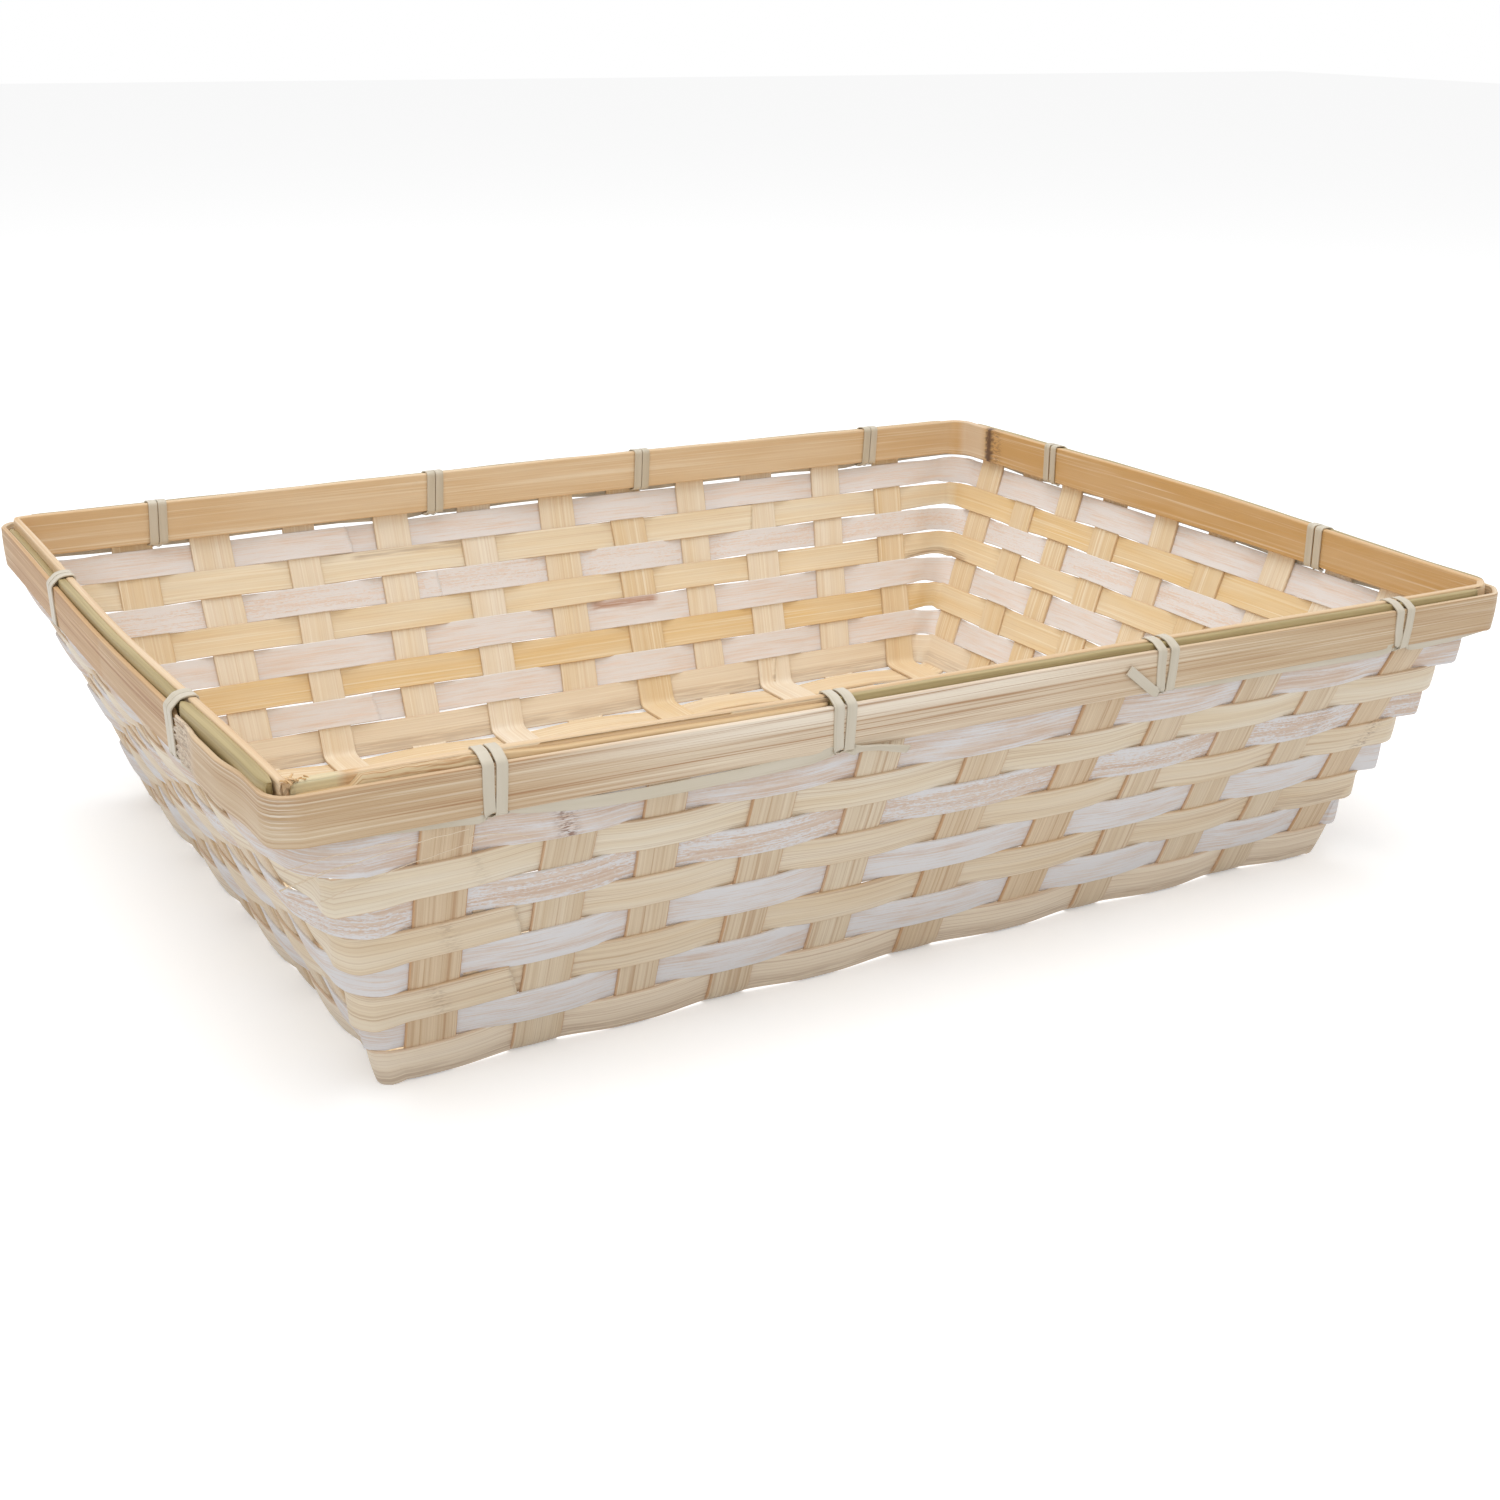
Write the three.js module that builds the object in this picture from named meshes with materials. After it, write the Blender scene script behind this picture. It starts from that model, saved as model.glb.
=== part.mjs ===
// Rectangular bamboo splint basket with walls that open outwards, in millimetres.
// +Z is up and +X runs along the long side; the origin is the middle of the underside.
//
// It is built as such a basket is woven. Cross stakes and length stakes are flat splints that
// plait the base, turn up at its edges and stand between two rim slats. Eight weaver splints
// go round the walls in turn outside and inside of the stakes, each with its two ends passing
// each other in one bay. Filler splints stand on edge on the stake ends and spread the slats,
// and one lashing strip binds it all together with twelve ties.
import * as THREE from "three";

// Whole basket
const rimLength = 450; // outside of the outer rim slat at its upper edge, along X
const rimWidth = 330; // outside of the outer rim slat at its upper edge, along Y
const baseLength = 368; // outside of the lowest weaver, along X
const baseWidth = 263; // outside of the lowest weaver, along Y
const outerSlatTop = 107; // height of the outer slat's upper edge

// Splints
const clearance = 0.3; // left between splints that touch
const stakeThickness = 1.2;
const crossStakeCount = 11;
const crossStakeWidth = 15.2;
const crossInsetBase = 14.5; // from the basket's end to its last cross stake's middle, at the base
const crossInsetRim = 46; // the same at the rim
const lengthStakeCount = 9;
const lengthStakeWidth = 14.6;
const lengthInsetBase = 15.5; // from the basket's side to its last length stake's middle
const lengthInsetRim = 38.9; // the same at the rim
const weaverThickness = 1;
const weaverRows = 8;
const rowGap = 0.8; // open slit between two weavers
const lowestWeaverEdge = 1.8; // height of the bottom weaver's lower edge
const crossingMargin = 0.6; // how far a splint stays level past the splint it crosses
const weaverLap = 14; // length of each weaver end past the stake it comes from
const weaverBaseRadius = 4; // corner radius of the bottom weaver, at mid thickness
const weaverRimRadius = 10; // corner radius of the top weaver, at mid thickness

// Rim slats and lashing
const outerSlatHeight = 14.5;
const outerSlatThickness = 1.8;
const innerSlatHeight = 15.9;
const innerSlatThickness = 2.6;
const innerSlatRise = 2.6; // the inner slat stands this much above the outer one
const innerSlatRadius = 1.8; // corner radius inside of the inner slat, at its upper edge
const fillerThickness = 2.3;
const fillerCrest = 1.3; // thickness that is left at the filler's upper edge
const fillerDrop = 0.2; // the filler's upper edge lies this far below the inner slat's
const fillerEndGap = 1.5; // from a filler's end to where the rim starts to turn
const scarfLength = 38; // overlap of a slat's two thinned ends
const outerScarfPlace = 55; // middle of that overlap, from the left wall's middle forwards
const innerScarfPlace = -55;
const scarfRamp = 2; // length over which a slat end thins down
const stakeEndDepth = 3; // stake ends stop this far below the outer slat's upper edge
const stakeBendDrop = 0.5; // the stakes turn upright this far below the outer slat
const slatToWeaverGap = 1.3; // slit between the outer slat and the top weaver
const lashingWidth = 2.8;
const lashingThickness = 0.6;
const lashingPitch = 3.6; // from one turn of a tie to the next
const lashingCorner = 0.5; // how much a turn cuts off each edge that it goes round
const lashingTurnRadius = 1.7; // where the strip turns within its own plane
const lashingTail = 9; // loose end, sideways
const lashingTailRise = 6; // loose end, upwards
const lashingStub = 15; // end of the strip past the last tie

// Arc steps
const weaverArcSteps = 3;
const slatArcSteps = 4;
const lashingArcSteps = 3;
const turnSteps = 3;
const twistSteps = 3;

// Sizes that follow from the ones above
const slatGapLow = stakeThickness + 2 * clearance; // the stakes fill it
const slatGapHigh = fillerThickness + 2 * clearance; // the fillers spread it
const stakeToRimFace = outerSlatThickness + slatGapHigh / 2;
const rimTurnRadius = innerSlatRadius + innerSlatThickness + slatGapHigh / 2;
const outerSlatBottom = outerSlatTop - outerSlatHeight;
const innerSlatTop = outerSlatTop + innerSlatRise;
const innerSlatBottom = innerSlatTop - innerSlatHeight;
const stakeBend = outerSlatBottom - stakeBendDrop;
const stakeTop = outerSlatTop - stakeEndDepth;
const fillerBottom = stakeTop + clearance;
const fillerTop = innerSlatTop - fillerDrop;
const weaverOffset = (stakeThickness + weaverThickness) / 2 + clearance;
const weaverReach = weaverOffset + weaverThickness / 2;
const lowerBaseLevel = stakeThickness / 2;
const upperBaseLevel = lowerBaseLevel + stakeThickness + clearance;
const topWeaverEdge = outerSlatBottom - slatToWeaverGap;
const rowPitch = (topWeaverEdge + rowGap - lowestWeaverEdge) / weaverRows;
const weaverHeight = rowPitch - rowGap;

// The mid surface of the stakes: half length and half width at the base and in the rim.
const stakeHalf = {
  base: { x: baseLength / 2 - weaverReach, y: baseWidth / 2 - weaverReach },
  rim: { x: rimLength / 2 - stakeToRimFace, y: rimWidth / 2 - stakeToRimFace },
};
const blend = (a, b, share) => a + (b - a) * share;
const wallShare = (z) => Math.min(z / stakeBend, 1);
const halfAt = (axis, z) =>
  blend(stakeHalf.base[axis], stakeHalf.rim[axis], wallShare(z));
const slopeOf = (axis) =>
  (stakeHalf.rim[axis] - stakeHalf.base[axis]) / stakeBend;

// The stakes stand at an even pitch between the insets at both ends.
const pitchFor = (span, inset, count) => (span - 2 * inset) / (count - 1);
const crossStakes = {
  count: crossStakeCount,
  width: crossStakeWidth,
  pitchBase: pitchFor(baseLength, crossInsetBase, crossStakeCount),
  pitchRim: pitchFor(rimLength, crossInsetRim, crossStakeCount),
};
const lengthStakes = {
  count: lengthStakeCount,
  width: lengthStakeWidth,
  pitchBase: pitchFor(baseWidth, lengthInsetBase, lengthStakeCount),
  pitchRim: pitchFor(rimWidth, lengthInsetRim, lengthStakeCount),
};
const stakeCentre = (stakes, index, z) =>
  (index - (stakes.count - 1) / 2) *
  blend(stakes.pitchBase, stakes.pitchRim, wallShare(z));

// Four walls in the order in which the weavers and the lashing go round. `along` is the way of
// travel, `outward` the level way out, `depth` the axis on which the wall stands off.
const front = { along: [1, 0], outward: [0, -1], depth: "y", stakes: crossStakes };
const right = { along: [0, 1], outward: [1, 0], depth: "x", stakes: lengthStakes };
const back = { along: [-1, 0], outward: [0, 1], depth: "y", stakes: crossStakes };
const left = { along: [0, -1], outward: [-1, 0], depth: "x", stakes: lengthStakes };
const walls = [front, right, back, left];
const wallAfter = (wall, steps = 1) =>
  walls[(walls.indexOf(wall) + steps) % walls.length];

// How many stakes stand on the walls before this one.
const stakesBefore = (wall) =>
  walls
    .slice(0, walls.indexOf(wall))
    .reduce((sum, { stakes }) => sum + stakes.count, 0);

// The bay between two stakes that lies `share` of the way along a wall, from 0 to 1.
const bayAt = (wall, share) => Math.floor(share * (wall.stakes.count - 1));

const level = (pair, scale = 1) =>
  new THREE.Vector3(pair[0] * scale, pair[1] * scale, 0);
const up = new THREE.Vector3(0, 0, 1);

// A point of a wall's mid surface, `s` along the wall, and the wall's normal there.
function onWall(wall, s, z, sloped = true) {
  const slope = sloped ? slopeOf(wall.depth) : 0;
  const half = sloped ? halfAt(wall.depth, z) : stakeHalf.rim[wall.depth];
  return {
    point: level(wall.along, s).add(level(wall.outward, half)).setZ(z),
    normal: level(wall.outward).addScaledVector(up, -slope).normalize(),
  };
}

// A point of the round corner between a wall and the next one, turned by `angle`, from 0 to a
// quarter turn.
function onCorner(wall, next, angle, z, radius, sloped = true) {
  const [sin, cos] = [Math.sin(angle), Math.cos(angle)];
  const halfOf = (axis) => (sloped ? halfAt(axis, z) : stakeHalf.rim[axis]);
  const facing = level(wall.outward, cos).add(level(next.outward, sin));
  const centre = level(wall.outward, halfOf(wall.depth) - radius).add(
    level(next.outward, halfOf(next.depth) - radius),
  );
  const slope = sloped
    ? blend(slopeOf(wall.depth), slopeOf(next.depth), angle / (Math.PI / 2))
    : 0;
  return {
    point: centre.addScaledVector(facing, radius).setZ(z),
    normal: facing.addScaledVector(up, -slope).normalize(),
  };
}

// A closed strip from a list of sections. Each section has four corners that turn
// anticlockwise when the strip comes towards the viewer.
function stripGeometry(sections) {
  const corners = 4;
  const positions = sections.flat().flatMap((corner) => corner.toArray());
  const indices = [];
  const quad = (a, b, c, d) => indices.push(a, b, c, a, c, d);
  for (let i = 0; i + 1 < sections.length; i++) {
    for (let k = 0; k < corners; k++) {
      const here = i * corners;
      const there = here + corners;
      const after = (k + 1) % corners;
      quad(here + k, here + after, there + after, there + k);
    }
  }
  const last = (sections.length - 1) * corners;
  quad(0, 3, 2, 1);
  quad(last, last + 1, last + 2, last + 3);
  const geometry = new THREE.BufferGeometry();
  geometry.setAttribute(
    "position",
    new THREE.Float32BufferAttribute(positions, 3),
  );
  geometry.setIndex(indices);
  geometry.computeVertexNormals();
  return geometry;
}

// A section from its centre, half its width as a vector and half its thickness as a vector.
function sectionAt(centre, halfWidth, halfThickness) {
  const corner = (across, out) =>
    centre
      .clone()
      .addScaledVector(halfWidth, across)
      .addScaledVector(halfThickness, out);
  return [corner(-1, -1), corner(1, -1), corner(1, 1), corner(-1, 1)];
}

// The half thickness vector where two faces with these normals meet, so both keep their thickness.
function mitre(before, after, halfThickness) {
  return before
    .clone()
    .add(after)
    .multiplyScalar(halfThickness / (1 + before.dot(after)));
}

// One stake: down a wall, through the base's plait and up the opposite wall. `wall` is where it
// starts and `over(k)` says if it lies in the upper layer where it crosses the k-th other stake.
function stakeGeometry(wall, stakes, index, crossed, over) {
  const across = level(wall.along);
  const halfWidth = across.clone().multiplyScalar(stakes.width / 2);
  const half = stakeThickness / 2;
  const slope = slopeOf(wall.depth);
  const down = up.clone().negate();
  const levelOf = (k) => (over(k) ? upperBaseLevel : lowerBaseLevel);

  // `side` is 1 at the wall where it starts and -1 at the opposite wall.
  const wallSections = (side, baseLevel) => {
    const outward = level(wall.outward, side);
    const normal = outward.clone().addScaledVector(up, -slope).normalize();
    const at = (out, z) =>
      across
        .clone()
        .multiplyScalar(stakeCentre(stakes, index, z))
        .addScaledVector(outward, out)
        .setZ(z);
    const rimHalf = stakeHalf.rim[wall.depth];
    return [
      sectionAt(at(rimHalf, stakeTop), halfWidth, outward.clone().multiplyScalar(half)),
      sectionAt(at(rimHalf, stakeBend), halfWidth, mitre(outward, normal, half)),
      sectionAt(
        at(halfAt(wall.depth, baseLevel), baseLevel),
        halfWidth,
        mitre(normal, down, half),
      ),
    ];
  };

  const plait = [];
  for (let k = crossed.count - 1; k >= 0; k--) {
    const reach = crossed.width / 2 + crossingMargin;
    for (const end of [reach, -reach]) {
      const centre = across
        .clone()
        .multiplyScalar(stakeCentre(stakes, index, 0))
        .add(level(wall.outward, stakeCentre(crossed, k, 0) + end))
        .setZ(levelOf(k));
      plait.push(sectionAt(centre, halfWidth, down.clone().multiplyScalar(half)));
    }
  }
  return stripGeometry([
    ...wallSections(1, levelOf(crossed.count - 1)),
    ...plait,
    ...wallSections(-1, levelOf(0)).reverse(),
  ]);
}

// One weaver: once round all four walls. Its two ends pass each other in the bay that lies
// `lapShare` of the way along `lapWall`.
function weaverGeometry(row, lapWall, lapShare) {
  const lapBay = bayAt(lapWall, lapShare);
  const zHigh = topWeaverEdge - row * rowPitch;
  const zLow = zHigh - weaverHeight;
  const radiusAt = (z) => blend(weaverBaseRadius, weaverRimRadius, wallShare(z));
  const section = (placeAt, offset) => {
    const corner = (z, out) => {
      const { point, normal } = placeAt(z);
      return point.addScaledVector(normal, offset + (out * weaverThickness) / 2);
    };
    return [corner(zLow, -1), corner(zHigh, -1), corner(zHigh, 1), corner(zLow, 1)];
  };
  // Stake by stake and row by row it goes in turn inside and outside. The bottom weaver goes
  // inside where the base's plait has the stake in its lower layer.
  const rowsBelow = weaverRows - 1 - row;
  const offsetAt = (wall, index) =>
    (stakesBefore(wall) + index + rowsBelow) % 2 === 1 ? -weaverOffset : weaverOffset;
  const nearStake = (wall, index, shift) =>
    section(
      (z) => onWall(wall, stakeCentre(wall.stakes, index, z) + shift, z),
      offsetAt(wall, index),
    );

  const sections = [];
  for (let turn = 0; turn <= walls.length; turn++) {
    const wall = wallAfter(lapWall, turn);
    const next = wallAfter(wall);
    const firstStake = turn === 0 ? lapBay + 1 : 0;
    const lastStake = turn === walls.length ? lapBay : wall.stakes.count - 1;
    const reach = wall.stakes.width / 2 + crossingMargin;
    for (let index = firstStake; index <= lastStake; index++) {
      const starts = turn === 0 && index === firstStake;
      const ends = turn === walls.length && index === lastStake;
      sections.push(nearStake(wall, index, -reach - (starts ? weaverLap : 0)));
      sections.push(nearStake(wall, index, reach + (ends ? weaverLap : 0)));
    }
    if (turn === walls.length) break;
    const from = offsetAt(wall, wall.stakes.count - 1);
    const to = offsetAt(next, 0);
    for (let step = 0; step <= weaverArcSteps; step++) {
      const share = step / weaverArcSteps;
      const angle = (share * Math.PI) / 2;
      const offset = blend(from, to, (step + 1) / (weaverArcSteps + 2));
      sections.push(
        section((z) => onCorner(wall, next, angle, z, radiusAt(z)), offset),
      );
    }
  }
  return stripGeometry(sections);
}

// The two rim slats lean apart: their near faces lie this far from the stakes' mid surface.
const outerSlat = { side: 1, bottom: outerSlatBottom, top: outerSlatTop };
const innerSlat = { side: -1, bottom: innerSlatBottom, top: innerSlatTop };
const nearFace = ({ bottom, top }, z) =>
  blend(slatGapLow, slatGapHigh, (z - bottom) / (top - bottom)) / 2;

// One rim slat: once round, with its two ends thinned to half and lapped about `lapCentre`.
// `near` and `far` are depths within the slat, from the face on the stakes' side.
function slatGeometry(slat, thickness, lapWall, lapCentre) {
  const { side, bottom, top } = slat;
  const section = ({ point, normal }, near, far) => {
    const corner = (z, depth) =>
      point
        .clone()
        .addScaledVector(normal, side * (nearFace(slat, z) + depth))
        .setZ(z);
    const [low, high] = side > 0 ? [near, far] : [far, near];
    return [corner(bottom, low), corner(top, low), corner(top, high), corner(bottom, high)];
  };
  const onLap = (s) => onWall(lapWall, s, top, false);
  const from = lapCentre - scarfLength / 2;
  const to = lapCentre + scarfLength / 2;
  const lowHalf = [0, (thickness - clearance) / 2];
  const highHalf = [(thickness + clearance) / 2, thickness];
  const sections = [
    section(onLap(from), ...lowHalf),
    section(onLap(to), ...lowHalf),
    section(onLap(to + scarfRamp), 0, thickness),
  ];
  for (let turn = 0; turn < walls.length; turn++) {
    const wall = wallAfter(lapWall, turn);
    const next = wallAfter(wall);
    for (let step = 0; step <= slatArcSteps; step++) {
      const angle = ((step / slatArcSteps) * Math.PI) / 2;
      const place = onCorner(wall, next, angle, top, rimTurnRadius, false);
      sections.push(section(place, 0, thickness));
    }
  }
  sections.push(
    section(onLap(from - scarfRamp), 0, thickness),
    section(onLap(from), ...highHalf),
    section(onLap(to), ...highHalf),
  );
  return stripGeometry(sections);
}

// One filler: a splint on edge from `from` to `to` along a wall. It stands on the stake ends
// and keeps its clearance to both slats; its outer side slants in towards the upper edge.
function fillerGeometry(wall, from, to) {
  const inside = -fillerThickness / 2;
  const section = (s) => {
    const corner = (z, offset) =>
      onWall(wall, s, z, false).point.add(level(wall.outward, offset));
    return [
      corner(fillerBottom, clearance - nearFace(innerSlat, fillerBottom)),
      corner(fillerTop, inside),
      corner(fillerTop, inside + fillerCrest),
      corner(fillerBottom, nearFace(outerSlat, fillerBottom) - clearance),
    ];
  };
  return stripGeometry([section(from), section(to)]);
}

// Offsets of the lashing's mid thickness from the stakes' mid surface, and its heights.
const lashingLift = clearance + lashingThickness / 2;
const onOuterSlat = (z) => nearFace(outerSlat, z) + outerSlatThickness + lashingLift;
const onInnerSlat = (z) => -nearFace(innerSlat, z) - innerSlatThickness - lashingLift;
const outerLow = onOuterSlat(outerSlatBottom);
const outerHigh = onOuterSlat(outerSlatTop);
const innerLow = onInnerSlat(innerSlatBottom);
const innerHigh = onInnerSlat(innerSlatTop);
const underOuter = outerSlatBottom - lashingLift;
const underInner = innerSlatBottom - lashingLift;
const overOuter = outerSlatTop + lashingLift;
const overInner = innerSlatTop + lashingLift;
const runHeight = outerSlatBottom - clearance - lashingWidth / 2;

// One turn round both slats as points [offset, height], from the outer slat's lower edge up,
// over the filler, down inside and back out under both slats.
const turnPath = [
  [outerLow, underOuter + lashingCorner],
  [outerHigh, outerSlatTop],
  [outerHigh - lashingCorner, overOuter],
  [fillerCrest - fillerThickness / 2, overInner],
  [innerHigh + lashingCorner, overInner],
  [innerHigh, innerSlatTop],
  [innerLow, underInner + lashingCorner],
  [innerLow + lashingCorner, underInner],
  [-slatGapLow / 2, underInner],
  [slatGapLow / 2 - lashingLift, underOuter],
  [outerLow - lashingCorner, underOuter],
];
const steadyPoints = 7; // points before the strip starts to move along to the next turn

// The ties, in the order in which the strip makes them: the wall, the share of the wall at
// which the tie's bay lies, and where in the bay it stands, from -1 at the stake before it to
// 1 at the stake after it.
const ties = [
  { wall: front, share: 0.65, place: 1 },
  { wall: front, share: 0.95, place: 1 },
  { wall: right, share: 0.2, place: 0.4 },
  { wall: right, share: 0.8, place: 0.3 },
  { wall: back, share: 0.05, place: -0.8 },
  { wall: back, share: 0.35, place: 0.2 },
  { wall: back, share: 0.65, place: -0.6 },
  { wall: back, share: 0.95, place: -0.2 },
  { wall: left, share: 0.2, place: -0.2 },
  { wall: left, share: 0.8, place: -0.3 },
  { wall: front, share: 0.05, place: 0 },
  { wall: front, share: 0.35, place: 0.1 },
];
const tieSpan = 2 * lashingPitch; // from a tie's first turn to where the strip leaves it

// Where the first turn of a tie stands on its wall.
function tieStart({ wall, share, place }) {
  const { stakes } = wall;
  const bay = bayAt(wall, share);
  const before = stakeCentre(stakes, bay, stakeTop) + stakes.width / 2;
  const after = stakeCentre(stakes, bay + 1, stakeTop) - stakes.width / 2;
  const room = (after - before - tieSpan - lashingWidth) / 2 - clearance;
  return (before + after - tieSpan) / 2 + place * room;
}
const tieMiddle = (tie) => tieStart(tie) + lashingPitch / 2;

// The lashing: a loose tail, twelve ties of two turns with a run to the next tie, and a stub.
function lashingGeometry() {
  const sections = [];
  const halfWidth = lashingWidth / 2;
  const halfThickness = lashingThickness / 2;

  // Adds a section on a wall: `across` and `out` are [along, outward, up] in the wall's frame.
  const add = (wall, s, offset, z, across, out) => {
    const inWall = ([a, n, u]) =>
      level(wall.along, a).add(level(wall.outward, n)).addScaledVector(up, u);
    const centre = onWall(wall, s, z, false).point.add(level(wall.outward, offset));
    sections.push(
      sectionAt(
        centre,
        inWall(across).multiplyScalar(halfWidth),
        inWall(out).multiplyScalar(halfThickness),
      ),
    );
  };

  // One turn of a tie. The strip keeps its width along the wall and moves on by `lashingPitch`.
  // The last turn of a tie ends one point early, where the strip leaves it.
  const addTurn = (wall, s, isLast) => {
    const count = turnPath.length;
    turnPath.slice(0, isLast ? -1 : count).forEach(([offset, z], i) => {
      const [beforeN, beforeZ] = turnPath[(i + count - 1) % count];
      const [afterN, afterZ] = turnPath[(i + 1) % count];
      const faceOf = (n, u) => new THREE.Vector3(0, u, -n).normalize();
      const out = mitre(
        faceOf(offset - beforeN, z - beforeZ),
        faceOf(afterN - offset, afterZ - z),
        1,
      );
      const moved = Math.max(0, i + 1 - steadyPoints) / (count - steadyPoints);
      add(wall, s + lashingPitch * moved, offset, z, [-1, 0, 0], [0, out.y, out.z]);
    });
  };

  // Turns within the outer slat's face, from heading `from` to straight up. A heading is an
  // angle above the level.
  const addUpturn = (wall, s, from) => {
    for (let step = 0; step < turnSteps; step++) {
      const heading = blend(from, Math.PI / 2, step / turnSteps);
      const [sin, cos] = [Math.sin(heading), Math.cos(heading)];
      const sHere = s - lashingTurnRadius * (1 - sin);
      const zHere = runHeight + lashingTurnRadius * (1 - cos);
      add(wall, sHere, outerLow, zHere, [-sin, 0, cos], [0, 1, 0]);
    }
  };

  // Leaves the underside of the outer slat, turns along the wall and twists to face outwards.
  const addDeparture = (wall, s) => {
    const turnN = outerLow - lashingTurnRadius;
    for (let step = 0; step <= turnSteps; step++) {
      const heading = ((step / turnSteps) * Math.PI) / 2;
      const [sin, cos] = [Math.sin(heading), Math.cos(heading)];
      const sHere = s + lashingTurnRadius * (1 - cos);
      const nHere = turnN + lashingTurnRadius * sin;
      add(wall, sHere, nHere, underOuter, [-cos, sin, 0], [0, 0, -1]);
    }
    const turned = s + lashingTurnRadius;
    for (let step = 1; step <= twistSteps; step++) {
      const share = step / twistSteps;
      const [sin, cos] = [Math.sin((share * Math.PI) / 2), Math.cos((share * Math.PI) / 2)];
      const z = blend(underOuter, runHeight, share);
      add(wall, turned + lashingWidth * step, outerLow, z, [0, cos, sin], [0, sin, -cos]);
    }
    return turned + lashingWidth * twistSteps;
  };

  const addRunCorner = (wall, next) => {
    for (let step = 0; step <= lashingArcSteps; step++) {
      const angle = ((step / lashingArcSteps) * Math.PI) / 2;
      const { point, normal } = onCorner(wall, next, angle, runHeight, rimTurnRadius, false);
      sections.push(
        sectionAt(
          point.addScaledVector(normal, outerLow),
          up.clone().multiplyScalar(halfWidth),
          normal.clone().multiplyScalar(halfThickness),
        ),
      );
    }
  };

  ties.forEach((tie, index) => {
    const { wall } = tie;
    const s = tieStart(tie);
    if (index === 0) {
      const heading = -Math.atan2(lashingTailRise, lashingTail);
      const [sin, cos] = [Math.sin(heading), Math.cos(heading)];
      const sTail = s - lashingTurnRadius * (1 - sin) - lashingTail;
      const zTail = runHeight + lashingTurnRadius * (1 - cos) + lashingTailRise;
      add(wall, sTail, onOuterSlat(zTail), zTail, [-sin, 0, cos], [0, 1, 0]);
      addUpturn(wall, s, heading);
    } else {
      addUpturn(wall, s, 0);
    }
    addTurn(wall, s, false);
    addTurn(wall, s + lashingPitch, true);
    const left = addDeparture(wall, s + tieSpan);
    const following = ties[index + 1];
    if (!following) {
      add(wall, left + lashingStub, outerLow, runHeight, [0, 0, 1], [0, 1, 0]);
    } else if (following.wall !== wall) {
      addRunCorner(wall, following.wall);
    }
  });
  return stripGeometry(sections);
}

// Materials
const paint = (color, roughness) =>
  new THREE.MeshStandardMaterial({ color, roughness, metalness: 0 });
const naturalSplint = paint(0xe6c88f, 0.6);
const limedSplint = paint(0xdccdc0, 0.75);
const stakeSplint = paint(0xdfc391, 0.6);
const outerSlatWood = paint(0xd9ba8a, 0.6);
const innerSlatWood = paint(0xd2a766, 0.55);
const greenSkin = paint(0xa89a62, 0.4);
const lashingStrip = paint(0xcdbf9f, 0.45);

const basket = new THREE.Group();
function addPiece(name, geometry, material) {
  const mesh = new THREE.Mesh(geometry, material);
  mesh.name = name;
  basket.add(mesh);
}
const numbered = (name, index) => `${name}_${String(index + 1).padStart(2, "0")}`;

// In the base a cross stake lies over a length stake where both numbers are odd or both even.
// The cross stakes meet the length stakes from the last, at the back, to the first.
const crossOver = (cross, length) => (cross + length) % 2 === 0;
for (let i = 0; i < crossStakeCount; i++) {
  const over = (k) => crossOver(i, lengthStakeCount - 1 - k);
  addPiece(
    numbered("cross_stake", i),
    stakeGeometry(front, crossStakes, i, lengthStakes, over),
    stakeSplint,
  );
}
for (let j = 0; j < lengthStakeCount; j++) {
  const over = (k) => !crossOver(k, j);
  addPiece(
    numbered("length_stake", j),
    stakeGeometry(right, lengthStakes, j, crossStakes, over),
    stakeSplint,
  );
}
// Limed and natural weavers take turns from the top down. The natural ones meet in the front
// wall's second bay and the limed ones in the back wall's fourth.
for (let row = 0; row < weaverRows; row++) {
  const limed = row % 2 === 0;
  addPiece(
    numbered(limed ? "weaver_limed" : "weaver_natural", row),
    limed ? weaverGeometry(row, back, 0.35) : weaverGeometry(row, front, 0.15),
    limed ? limedSplint : naturalSplint,
  );
}
// Both slats are lapped on the left wall, one beside the other.
addPiece(
  "rim_outer_slat",
  slatGeometry(outerSlat, outerSlatThickness, left, outerScarfPlace),
  outerSlatWood,
);
addPiece(
  "rim_inner_slat",
  slatGeometry(innerSlat, innerSlatThickness, left, innerScarfPlace),
  innerSlatWood,
);

// The fillers meet under the last tie of the left wall and the last tie of the front wall.
const lastTieOn = (wall) => ties.filter((tie) => tie.wall === wall).at(-1);
const fillerSpans = walls.flatMap((wall) => {
  const end = stakeHalf.rim[wallAfter(wall).depth] - rimTurnRadius - fillerEndGap;
  if (wall !== front && wall !== left) return [{ wall, from: -end, to: end }];
  const joint = tieMiddle(lastTieOn(wall));
  return [
    { wall, from: -end, to: joint - clearance / 2 },
    { wall, from: joint + clearance / 2, to: end },
  ];
});
fillerSpans.forEach(({ wall, from, to }, index) =>
  addPiece(numbered("rim_filler", index), fillerGeometry(wall, from, to), greenSkin),
);
addPiece("rim_lashing", lashingGeometry(), lashingStrip);

export default basket;
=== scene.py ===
import bpy
import numpy as np
from mathutils import Matrix, Vector


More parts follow.
